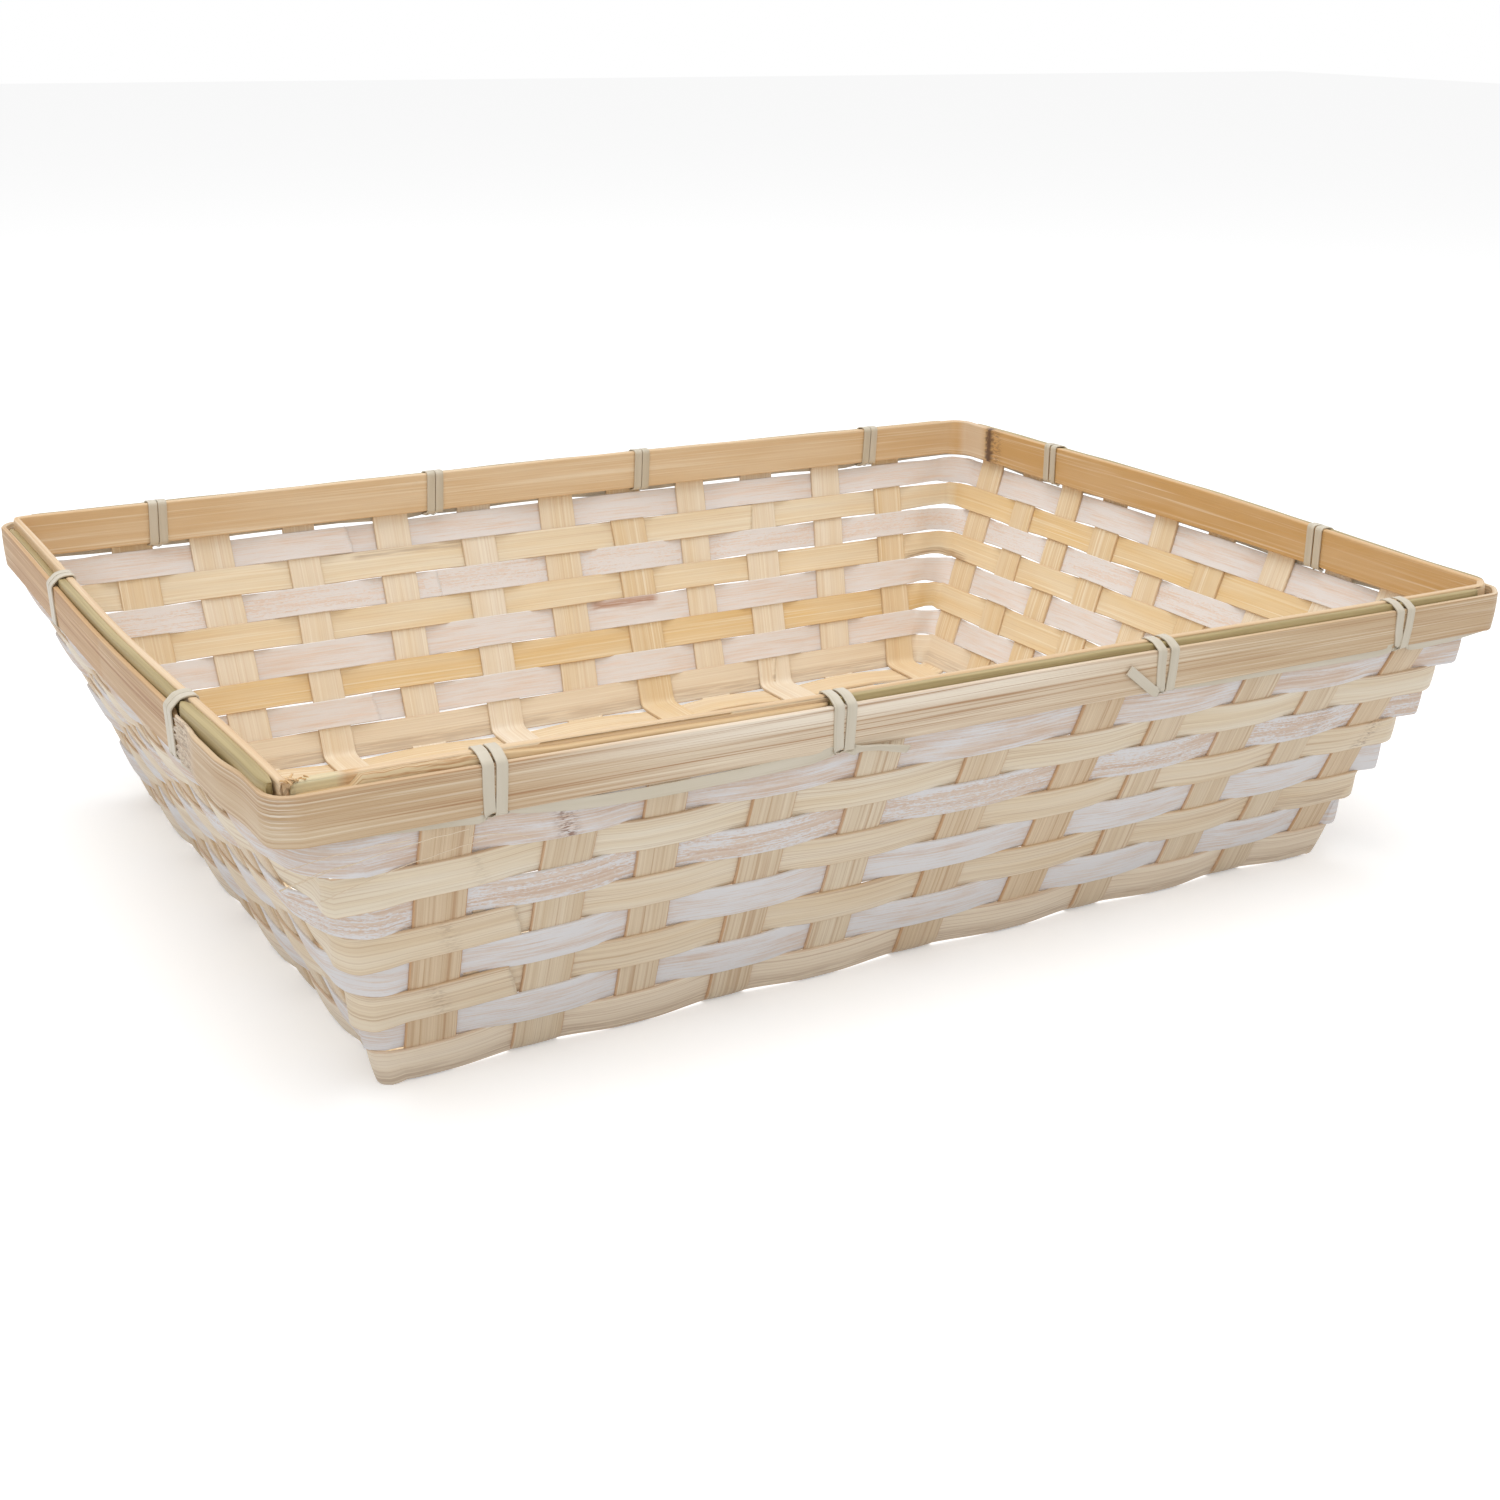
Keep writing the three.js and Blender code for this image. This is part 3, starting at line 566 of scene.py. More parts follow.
lengthStakes = {
    "axis": 0,
    "firstTop": (-120, -91, -60, -28, 3, 35, 66, 97, 128),
    "firstFoot": (-117.5, -88, -60, -31, -1, 29, 58, 87, 118),
    "lastFoot": (-117.8, -88, -60, -28, 1.6, 34.1, 62.4, 89, 119),
    "lastTop": (-117, -88, -57.8, -23.3, 9.8, 44.2, 73.9, 102.9, 132.7),
    "width": (14.5, 13.5, 14.5, 15.5, 14, 15.5, 14, 13.8, 15.5),
    "gold": (0.3, 0.2, 0.4, 1.2, 0.8, 1.1, 1.0, 1.0, 0.9),
}
weave = {
    "step": 1.6,                        # between two steps along a splint
    "thickness": 1.0,
    "rowEdges": (91.4, 80.2, 69.4, 58.9, 48.1, 36.6, 25.0, 13.8, 1.1),
    "slit": (-0.3, 0.3, 0.15, -0.2),    # mean gap between two rows, wall by wall
    "slitChange": (0.1, 0.6, 0.75, 0.2),
    "tuck": (1.4, 0.5, 0.3, 1.2),       # how far rows overlap in height where a stake hides them
    "seenFrom": (1, -1, -1, 1),         # walls seen from outside, and from inside
    "topDip": (-0.9, 0.0, 0.45, -0.4),  # how much lower the top row's edge is, wall by wall
    "droop": 1.9,                       # of the middle rows at the front-left corner
    "edgeWander": 0.25,                 # of the edges between two rows, up and down
    "flat": 4.5,                        # half length over which a splint lies along a stake
    "play": 0.06,                       # between a splint and a stake
    "push": 0.16,                       # how far a splint pushes a stake aside
    "lapOffset": 0.62,                  # of a row's ends, to either side of each other
    "finer": (2.4, 0.6),                # more steps this near to a corner's ends, and how long
    "cornerFrom": 8.5,                  # from a stake to where a row leaves the wall at a corner
    "cornerEase": 0.42,                 # share of the way over which it leaves and comes back
    "pullEase": 0.36,
}
plait = {
    "low": 0.68,                        # mid heights of the two layers of the base
    "high": 1.95,
    "flat": 5.5,                        # half length over which a stake lies level at a crossing
    "foot": 2.5,                        # height at which a wall's straight part starts
    "fineStep": 0.5,
    "softened": (9, 7),                 # fine steps over which the folds are rounded, twice
    "floorEnd": 1.5,                    # short of the fold
    "sway": (0.35, 60),                 # sideways, and its wave in steps
    "uneven": (0.018, 90),              # share by which the width changes, and its wave
    "lessSawnShade": 0.8,                        # how much less of the sawn sides' brown, partly painted shade, they get, apart from the front wall's
}
rowCount = len(weave["rowEdges"]) - 1
crossCount, lengthCount = len(crossStakes["width"]), len(lengthStakes["width"])
wallStakes = ((crossStakes, "first"), (lengthStakes, "last"), (crossStakes, "last"), (lengthStakes, "first"))
numberBefore = np.cumsum([0, crossCount, lengthCount, crossCount])


# Which side of a stake a row passes: -1 inside, 1 outside. Stakes are counted round the basket.
def sideOf(number, row):
    return np.where((number + row) % 2 == 0, -1, 1)


# Stakes met on each wall in the order of travel: their number round the basket, and their place
# along the wall at a height.
def stakesOn(wall, z):
    stakes, end = wallStakes[wall]
    foot, top = np.array(stakes[end + "Foot"]), np.array(stakes[end + "Top"])
    places = foot + (top - foot) * (z / measuredAt)
    if wall >= 2:
        places = -places[::-1]
    return numberBefore[wall] + np.arange(len(places)), places


stakeSection = stripSection(7, 0.3, 0.12, 0.1)


# One stake: down a wall, through the base's plait and up the other wall. In the base a cross
# stake lies over a length stake where both numbers are odd or both even.
def makeStake(kind, stakes, others, index):
    axis = stakes["axis"]
    firstFoot, lastFoot = stakes["firstFoot"][index], stakes["lastFoot"][index]
    bend, base, rim = basket["bend"], basket["baseHalf"][axis], basket["rimHalf"][axis]
    edges = np.array(weave["rowEdges"])
    middles = (edges[:-1] + edges[1:]) / 2
    z = np.arange(basket["stakeTop"], plait["foot"], -plait["fineStep"])

    def wallPart(end, sign):
        wall = wallStakes.index((stakes, end))
        count = len(stakes["width"])
        number = numberBefore[wall] + (index if wall < 2 else count - 1 - index)
        pushed = -sideOf(number, np.arange(rowCount)) * weave["push"]
        wave = np.interp(z, middles[::-1], pushed[::-1])
        along = sign * (np.where(z > bend, rim, base + (rim - base) * z / bend) + wave)
        foot, top = stakes[end + "Foot"][index], stakes[end + "Top"][index]
        return np.stack([along, foot + (top - foot) * z / measuredAt, z], 1)

    share = np.linspace(0, 1, 800)
    along = -base + 2 * base * share
    otherFirst, otherLast = np.array(others["firstFoot"]), np.array(others["lastFoot"])
    feet = otherFirst + (otherLast - otherFirst) * (firstFoot / basket["baseHalf"][1 - axis] + 1) / 2
    isOver = (index + np.arange(len(feet))) % 2 == 1 - axis
    knots = heldKnots(feet, np.where(isOver, plait["high"], plait["low"]), plait["flat"])
    floor = np.stack([along, firstFoot + (lastFoot - firstFoot) * share, eased(along, *knots)], 1)
    floor = floor[np.abs(along) < base - plait["floorEnd"]]
    whole = np.vstack([wallPart("first", -1), floor, wallPart("last", 1)[::-1]])
    path = resample(whole, plait["fineStep"])
    for steps in plait["softened"]:
        path = soften(path, steps)
    path = resample(path, weave["step"])
    steps = np.arange(len(path))
    sway, swayWave = plait["sway"]
    uneven, unevenWave = plait["uneven"]
    path[:, 1] += sway * wander(40 + index + 20 * axis, steps, swayWave)
    tangent = unit(np.gradient(path, axis=0))
    out = unit(np.stack([tangent[:, 2], 0 * steps, -tangent[:, 0]], 1))
    across = unit(np.cross(out, tangent))
    order = [0, 1, 2] if axis == 0 else [1, 0, 2]
    path, out, across = path[:, order], out[:, order], across[:, order]
    width = stakes["width"][index] * (1 + uneven * wander(70 + index + 20 * axis, steps, unevenWave))
    onFront = (axis == 1) & (path[:, 1] < -basket["baseHalf"][1])
    marks = {"gold": stakes["gold"][index], "lessSawnShade": np.where(onFront, 0.0, plait["lessSawnShade"])}
    makeStrip(f"{kind}_splint_{index + 1:02d}", path, across, out, width, basket["stakeThickness"],
              stakeSection, stakeFinish, f"{kind}_stake_{index + 1:02d}", marks=marks)


for index in range(crossCount):
    makeStake("cross", crossStakes, lengthStakes, index)
for index in range(lengthCount):
    makeStake("length", lengthStakes, crossStakes, index)
print("stakes woven")

# Rows from the top down. Radii are for the corners front-right, back-right, back-left and
# front-left, and so is how far each corner is pulled in along the basket. A lap is (wall, where
# the splint starts, where it ends, the side of the other end on which it ends). How golden a
# row is goes wall by wall. "pale" is how much paler it is, and on the bottom row this is painted
# light, making up for the shade the row gets as it leans out over the floor.
rows = [
    {"kind": "limed", "finish": limedThin, "radii": (4, 13, 12, 15), "pull": (8.4, 0, 4.5, 5),
     "lap": (2, 88, 106, 1)},
    {"kind": "natural", "finish": naturalFinish, "radii": (14, 5, 12, 0.7), "pull": (4.4, 0, 4.3, 6.4),
     "lap": (2, -102, -84, 1), "gold": (0, 0.85, 0.05, 0)},
    {"kind": "limed", "finish": limedRough, "radii": (3, 14, 14, 14), "pull": (6, 0, 3.8, 4),
     "lap": (2, 52, 69, 1)},
    {"kind": "natural", "finish": naturalFinish, "radii": (13, 9, 12, 5), "pull": (2.8, 0, 2, 2.6),
     "lap": (0, -163, -150.6, 1), "gold": (0.4, 0.5, 0.3, 0.3)},
    {"kind": "limed", "finish": limedSoft, "radii": (3, 15, 13, 14), "pull": (5, 0, 1, 1),
     "lap": (2, -66, -48, -1)},
    {"kind": "natural", "finish": naturalFinish, "radii": (11, 7, 11, 5), "pull": (2.6, 0, 0.5, -0.5),
     "lap": (0, -163, -149.4, 1), "gold": (0.5, 0.5, 0.85, 0.3)},
    {"kind": "limed", "finish": limedSoft, "radii": (3.5, 12, 10, 11), "pull": (4.5, 0, 0, -1.5),
     "lap": (2, 88, 106, 1)},
    # Painted light: the bottom row is painted paler to make up for the shade under its outward lean.
    {"kind": "natural", "finish": naturalFinish, "radii": (3.5, 7, 6, 3), "pull": (2.5, 0, 0, -1.8),
     "lap": (2, -102, -84, 1), "gold": (0.3, 0.6, 0.65, 0.3), "pale": 0.65},
]
# How far the splints stand off at each corner, and how much of the slope each row loses there.
bulges = {"limed": (0.4, 0.4, 0.6, 0.8), "natural": (0.6, 0.3, 0.8, 1.2)}
cornerTilt = (0.85,) * 7 + (0.3,)
# Rows that rise or sink near a corner: row, edge, how much, place t of the loop, half length.
lifts = [
    (0, "low", 0.8, 7.6, 0.75), (0, "high", 1.0, 3.6, 0.7),
    (1, "high", 0.7, 7.6, 0.75), (7, "low", -0.6, 7.5, 0.7),
]
# Brown spots, row by row: wall, place, size, strength.
stains = {
    0: [(0, -140.2, 5, 1.0)],
    1: [(0, -165, 3, 0.2)],
    2: [(0, 152, 5, 0.35)],
    3: [(0, 181, 6, 0.7), (0, -172, 5, 0.25)],
    5: [(0, -173, 5, 0.3)],
}
# Brown streaks, row by row: wall, from, to, level across the splint (-1 lower edge, 1 upper),
# how far they reach from it, strength.
streaks = {
    1: [(2, 38.9, 86.5, 0.75, 0.4, 0.55)],
    3: [(1, 128, 165, -0.8, 0.5, 0.8), (2, -215, -205, -0.8, 0.5, 0.8)],
    4: [(2, -47, -16.3, 0.7, 0.6, 0.9)],
    5: [(0, 150, 184, -0.45, 0.3, 0.9)],
    7: [(2, -180, 180, -0.5, 0.6, 0.35), (0, -190, 190, -0.6, 0.6, 0.4), (1, -130, 130, -0.5, 0.6, 0.35)],
}
weaverSection = stripSection(9, 0.28, 0.12, 0.1)


# Height of the edge between two rows, and half the slit there, at place t of the loop. The
# middle rows droop at the front-left corner.
def rowEdge(edge, t):
    height = weave["rowEdges"][edge]
    height = height + weave["edgeWander"] * loopWander(100 + edge, t, (2, 5, 9)) * (edge < rowCount)
    if edge == 0:
        return height - wallByWall(weave["topDip"], t)
    nearCorner = smooth(1 - np.where(t > 4, 8 - t, t * 4))
    return height - weave["droop"] * np.sin(np.pi * np.clip(edge / rowCount, 0, 1)) * nearCorner


def halfSlit(edge, t):
    change = wallByWall(weave["slitChange"], t) * loopWander(120 + edge, t, (7, 12, 19))
    return (wallByWall(weave["slit"], t) + change) / 2


# Distances at which a row's path is worked out, with more of them where a corner starts or ends.
def rowSteps(first, last, starts):
    near, step = weave["finer"]
    folds = (starts[1:, None] + np.arange(-1, 3) * starts[-1]).ravel()
    folds = (folds[:, None] + np.arange(-near, near + step / 2, step)).ravel()
    folds = folds[(folds > first + 1) & (folds < last - 1)]
    even = np.linspace(first, last, int((last - first) / weave["step"]))
    return np.unique(np.concatenate([even, folds]))


# How far a row's middle stands out from the stakes' at each distance: each stake holds it level
# over a short stretch, and its two ends lie clear of each other.
def rowOffset(row, distance, middle, starts, radii, contact, lapSide):
    crossings, sides = [], []
    for wall in range(4):
        numbers, places = stakesOn(wall, middle)
        crossings.append(loopDistance(starts, wall, places, radii))
        sides.append(sideOf(numbers, row) * contact)
    first, last = distance[0], distance[-1]
    places = (np.concatenate(crossings) + np.arange(3)[:, None] * starts[-1]).ravel()
    met = (places > first) & (places < last)
    knots, held = heldKnots(places[met], np.tile(np.concatenate(sides), 3)[met], weave["flat"])
    inside = (knots > first) & (knots < last)
    atEnd = weave["lapOffset"] * lapSide
    knots = np.concatenate([[first], knots[inside], [last]])
    return eased(distance, knots, np.concatenate([[-atEnd], held[inside], [atEnd]]))


# One weaver: once round the basket, in turn inside and outside of the stakes, with its two ends
# passing each other at the lap.
def makeWeaver(row, kind, finish, radii, pull, lap, gold=(0, 0, 0, 0), pale=0):
    middle = (weave["rowEdges"][row] + weave["rowEdges"][row + 1]) / 2
    starts = loopStarts(halfAt(0, middle), halfAt(1, middle), radii)
    around = starts[-1]
    lapWall, lapStart, lapEnd, lapSide = lap
    distance = rowSteps(loopDistance(starts, lapWall, lapStart, radii),
                        loopDistance(starts, lapWall, lapEnd, radii) + around, starts)
    t = loopT(distance, starts)
    turned = np.mod(t, 8)
    contact = (basket["stakeThickness"] + weave["thickness"]) / 2 + weave["play"] - weave["push"]
    offset = rowOffset(row, distance, middle, starts, radii, contact, lapSide)
    # Between the last stake of a wall and the first of the next one the splint stands off and
    # is nearly upright, because a flat strip can't follow the slope round a corner.
    upright, drawn = np.zeros(len(t)), np.zeros(len(t))
    for corner, bulge in enumerate(bulges[kind]):
        following = (corner + 1) % 4
        lastPlace, nextPlace = stakesOn(corner, middle)[1][-1], stakesOn(following, middle)[1][0]
        left = loopDistance(starts, corner, lastPlace, radii) + weave["cornerFrom"]
        right = loopDistance(starts, following, nextPlace, radii) - weave["cornerFrom"]
        right = right + around * (corner == 3)
        for shift in (-around, 0, around):
            share = (distance - left - shift) / (right - left)
            inwards = np.minimum(share, 1 - share)
            within = smooth(inwards / weave["cornerEase"])
            upright = upright + within
            offset = offset + bulge * within
            drawn = drawn + pull[corner] * smooth(inwards / weave["pullEase"])
    hidden = np.clip(-offset / contact * wallByWall(weave["seenFrom"], turned), 0, 1)
    tuck = wallByWall(weave["tuck"], turned) * smooth(hidden) / 2
    edge = {
        "high": rowEdge(row, turned) - halfSlit(row, turned) + tuck * (row > 0),
        "low": rowEdge(row + 1, turned) + halfSlit(row + 1, turned) - tuck * (row < rowCount - 1),
    }
    for liftedRow, side, amount, place, half in lifts:
        if liftedRow == row:
            edge[side] = edge[side] + amount * hill(turned - place, half)
    mid, halfHeight = (edge["high"] + edge["low"]) / 2, (edge["high"] - edge["low"]) / 2
    tilt = 1 - cornerTilt[row] * upright

    def edgePlace(z):
        return loopPlace(t, halfAt(0, z), halfAt(1, z), radii)

    upper, facing = edgePlace(mid + halfHeight * tilt)
    lower, _ = edgePlace(mid - halfHeight * tilt)
    upper, lower = np.column_stack([upper, edge["high"]]), np.column_stack([lower, edge["low"]])
    slope = (wallSlope[0] * facing[:, 0] ** 2 + wallSlope[1] * facing[:, 1] ** 2) * tilt
    out = unit(np.column_stack([facing, -slope]))
    centre = (upper + lower) / 2 + out * offset[:, None]
    centre[:, 0] -= np.sign(centre[:, 0]) * drawn

    def awayFrom(wall, s):
        return apart(distance, loopDistance(starts, wall, s, radii), around)

    stain = np.zeros(len(t))
    for wall, s, size, strength in stains.get(row, []):
        stain = np.maximum(stain, strength * fall(awayFrom(wall, s), 0, size))
    levels = weaverSection[0][:, 0]
    streak = np.zeros((len(t), len(levels)))
    for wall, start, end, level, reach, strength in streaks.get(row, []):
        within = smooth(((end - start) / 2 - awayFrom(wall, (start + end) / 2)) / 5 + 0.5)
        streak = np.maximum(streak, strength * within[:, None] * fall(np.abs(levels - level), 0, reach))
    marks = {"stain": stain, "streak": streak, "gold": wallByWall(gold, turned), "pale": pale}
    makeStrip(f"{kind}_splint_{row + 1:02d}", centre, unit(upper - lower), out,
              np.linalg.norm(upper - lower, axis=1), weave["thickness"], weaverSection, finish,
              f"weaver_{kind}_{row + 1:02d}", marks=marks, ragged=(0.3, 0.3))


for row, settings in enumerate(rows):
    makeWeaver(row, **settings)
print("weavers woven")

# The rim: two slats that lean apart, the fillers between them and the binding round them.
rim = {
    "gapLow": 0.92,                 # half the gap between the slats at their lower edges
    "gapHigh": 1.45,
    "outerThickness": 1.8,
    "innerThickness": 2.6,
    "corners": (5.85, 10.5, 5.85, 5.5),     # radii at the stakes' mid surface
    "innerDrop": 0.4,               # the inner slat's top lies this much lower at the front
    "step": 1.5,
}
rimCorners = np.array(rim["corners"])
rimStarts = loopStarts(*basket["rimHalf"], rimCorners)
rimLength = rimStarts[-1]


def rimDistance(wall, s):
    return loopDistance(rimStarts, wall, s, rimCorners)


# Low relief of long ribs across a slat's face that shift slowly along it: three sines whose
# sizes add up to 2.4.
def ribs(seed, distance, height, spacing):
    waves = ((1.0, spacing), (0.6, spacing * 0.57), (0.8, spacing * 2.1))
    slow = 0.8 * wander(seed, distance, 240)[:, None]

    def relief(a):
        return height / 2.4 * sum(
            size * np.sin(2 * np.pi * (a + slow * (k + 1) * 0.3) / wave + seed + k * 2.1)
            for k, (size, wave) in enumerate(waves))
    return relief


# Middle of a slat, its direction across and out, and its width, from the heights of its edges and
# how far they stand out from the stakes.
def slatPath(t, bottom, top, offsetLow, offsetHigh, corners):
    halfX, halfY = basket["rimHalf"]
    radii = corners + np.mean(offsetHigh)
    upper, facing = loopPlace(t, halfX + offsetHigh, halfY + offsetHigh, radii)
    lower, _ = loopPlace(t, halfX + offsetLow, halfY + offsetLow, radii)
    upper = np.column_stack([upper, np.broadcast_to(top, len(t))])
    lower = np.column_stack([lower, np.broadcast_to(bottom, len(t))])
    out = unit(np.column_stack([facing, 0 * t]))
    across = unit(upper - lower)
    out = unit(out - across * (out * across).sum(1)[:, None])
    return (upper + lower) / 2, across, out, np.linalg.norm(upper - lower, axis=1)


outerSlat = {
    "lap": (84.5, 122.0),           # its visible end and its hidden one, on the left wall
    "detail": (50, 45, 75),         # about a corner, from the first end and before the last one
    "torn": (9, 12),                # distance from the first end and ease of the torn stretch
    "tornThinner": 0.35,
    "over": 1.6,                    # how far the first end lies outside the last one
    "overFall": (36, 26),
    "thinned": (8, 14),             # before the overlap, and ease
    "thinner": 0.5,
    "thinLower": 6.0,
    "pale": (-40, 40, 110),         # middle on the front wall, half length and ease
    "goldFrom": (5.9, 0.2),         # the left side is browner
    "fold": (7.5, 0.62),            # crinkled corner: place t of the loop and half length
    "crinkle": 0.24,                # height of the wrinkles there
    "tear": 0.22,                   # height of the torn fibres
}


# The outer slat: once round the basket from the visible end of its lap to the hidden one.
def makeOuterSlat():
    first, last = (rimDistance(3, s) for s in outerSlat["lap"])
    last = last + rimLength
    # Every second step is enough away from the corners and the lap.
    distance = np.linspace(first, last, int((last - first) / rim["step"]))
    folds = (rimStarts[1:8:2] + rimStarts[2:9:2]) / 2
    atFold, atStart, atEnd = outerSlat["detail"]
    detailed = apart(distance[:, None], folds, rimLength).min(1) < atFold
    detailed = detailed | (distance - first < atStart) | (last - distance < atEnd)
    distance = distance[detailed | (np.arange(len(distance)) % 2 == 0)]
    t = loopT(distance, rimStarts)
    turned = np.mod(t, 8)
    # The first end is torn off at a slant and lies over the last one, which is thinned and lower.
    fromStart, toEnd = distance - first, last - distance
    torn = fall(fromStart, *outerSlat["torn"])
    over = outerSlat["over"] * fall(fromStart, *outerSlat["overFall"]) * (1 - 0.5 * torn)
    before, ease = outerSlat["thinned"]
    thin = smooth((last - rimLength - first + before - toEnd) / ease)
    thickness = rim["outerThickness"] * (1 - outerSlat["thinner"] * thin)
    thickness = thickness * (1 - outerSlat["tornThinner"] * torn)
    shift = rim["outerThickness"] / 2 + over - outerSlat["thinner"] * thin
    top = basket["outerTop"] - 0.2 + 0.25 * loopWander(201, turned)
    top = top - 0.5 * over - outerSlat["thinLower"] * thin
    bottom = basket["outerBottom"] + 0.35 * loopWander(202, turned)
    centre, across, out, width = slatPath(
        t, bottom, top, rim["gapLow"] + shift, rim["gapHigh"] + shift, rimCorners)

    section = stripSection(60, 0.35, 0.25)
    level = section[0][:, 0]
    middle, half, ease = outerSlat["pale"]
    pale = fall(apart(distance, rimDistance(0, middle), rimLength), half, ease)[:, None]
    pale = pale * (0.45 + 0.55 * rise(level, 0.1, 0.5))
    gold = (1.6 + 0.8 * (turned < 6.5)) * rise(turned, *outerSlat["goldFrom"]) * (fromStart > 100)
    corner, half = outerSlat["fold"]
    nearFold = hill(turned - corner, half)[:, None] * smooth(0.75 + 0.5 * level)
    # Painted highlights: the wrinkles at the crinkled corner are painted pale in streaks, as short bright
    # glints on them.
    crinkle = nearFold * smooth(np.abs(wander(77, level * 11, 1.3)) * 1.8 - 0.3)
    pale = np.maximum(np.maximum(pale, 0.95 * crinkle), 0.5 * torn[:, None])
    lines = ribs(3, distance, 0.02, 1.5)

    def relief(a):
        wrinkle = np.sin(2 * np.pi * a / 1.05 + 2.5 * wander(78, distance, 7)[:, None])
        wrinkle = wrinkle * (0.6 + 0.6 * wander(79, a * 2.3, 5.0))
        fibres = wander(80, a * 3 + 5 * wander(82, distance, 3.1)[:, None], 2.2)
        folded = outerSlat["crinkle"] * nearFold * wrinkle
        return lines(a) + folded + outerSlat["tear"] * torn[:, None] * fibres

    makeStrip("outer_rim", centre, across, out, width, thickness, section, outerFinish,
              "rim_outer_slat", relief=relief,
              marks={"stain": 0.5 * torn, "pale": pale, "gold": gold}, ragged=(2.4, 0.5))


innerSlat = {
    "start": 1.6,                   # of its first end from the corner
    "longer": 2.2,                  # its last end runs on this far
    "cornerPlay": 0.2,              # between the left wall's end and the outer slat
    "node": 133.5,                  # dark node on the right wall
    "nodeHeight": (0.5, 2.5),       # how far it stands up, and its half length
    "knot": -203.0,                 # smaller one at the front wall's first end
    "dip": (0.8, 3.5, 0.6),         # of the lower edge: how deep, place t and half length
}


# The inner slat's two ends meet at the front-left corner: it starts on the front against the
# left wall's end, which runs on to the outer slat.
def makeInnerSlat():
    corners = rimCorners.copy()
    corners[3] = rim["gapHigh"] + rim["innerThickness"] / 2 + innerSlat["cornerPlay"]
    starts = loopStarts(*basket["rimHalf"], corners)
    distance = np.linspace(starts[0] + innerSlat["start"], starts[7], int(starts[7] / rim["step"]))
    t = loopT(distance, starts)
    frontShare = smooth(1.25 - t) + smooth(t - 7.75)
    top = basket["innerTop"] - rim["innerDrop"] * frontShare + 0.2 * loopWander(211, t)
    depth, place, half = innerSlat["dip"]
    bottom = basket["innerBottom"] + 0.3 * loopWander(212, t) - depth * hill(t - place, half)
    centre, across, out, width = slatPath(
        t, bottom, top, -(rim["gapLow"] + rim["innerThickness"] / 2),
        -(rim["gapHigh"] + rim["innerThickness"] / 2), corners)
    centre[-1] += unit(centre[-1] - centre[-2]) * innerSlat["longer"]

    def near(wall, s):
        return np.abs(distance - loopDistance(starts, wall, s, corners))

    section = stripSection(26, 0.55)
    fromNode, knot = near(1, innerSlat["node"]), innerSlat["knot"]
    stain = np.maximum(0.6 * hill(near(1, innerSlat["node"] - 5), 7), 0.3 * hill(near(3, 159), 3))
    edge = 1.5 + 1.0 * wander(91, section[0][:, 0] * 7, 2.6)
    dark = np.maximum(0.95 * fall(fromNode[:, None], edge, 1.7), 0.3 * hill(near(0, knot), 1.2)[:, None])
    green = 0.65 * smooth((loopDistance(starts, 0, knot, corners) - distance) / 2)
    gold = wallByWall((0.25, 1.0, 0.1, 0.2), t) + 0.35 * fall(near(1, 140), 3, 5)
    gold = gold + 0.4 * (hill(near(2, -205), 70) + hill(near(2, 205), 70))
    gold = gold + 1.2 * fall(near(0, knot + 2), 1, 1.5)
    lines = ribs(9, distance, 0.02, 1.7)
    height, half = innerSlat["nodeHeight"]
    marks = {"stain": stain, "node": dark, "pale": 0.55 * smooth((14 - near(1, 147)) / 8),
             "gold": gold, "green": green}
    makeStrip("inner_rim", centre, across, out, width, rim["innerThickness"], section, innerFinish,
              "rim_inner_slat", marks=marks, ragged=(0.9, 1.2),
              relief=lambda a: lines(a) + height * hill(fromNode, half)[:, None])


# Fillers: wall, first and last place along it, and how much green skin is left at both ends.
fillers = [
    (0, -217, -56, 0.1, 0.3), (0, -55.5, 213, 0.7, 1.0), (1, -155, 149, 0.9, 0.6),
    (2, -209, 214, 0.5, 0.9), (3, -155, 78, 1.0, 1.0), (3, 82.6, 158.5, 1.0, 0.9),
]
filling = {
    "thickness": 2.6,
    "thicker": 1.0,                 # the last one, as the outer slat stands off beside it
    "inwards": 0.16,                # of the stakes' mid surface
    "under": 0.35,                  # its top below the inner slat's
    "overStakes": 0.3,
    "node": -202.0,                 # the first one is low up to here
    "torn": (-168.0, 14.0),         # splintered up to here, and ease
    "sunk": (2.6, 1.5, 3.0),        # the first one before and after, and the fifth one's start
}


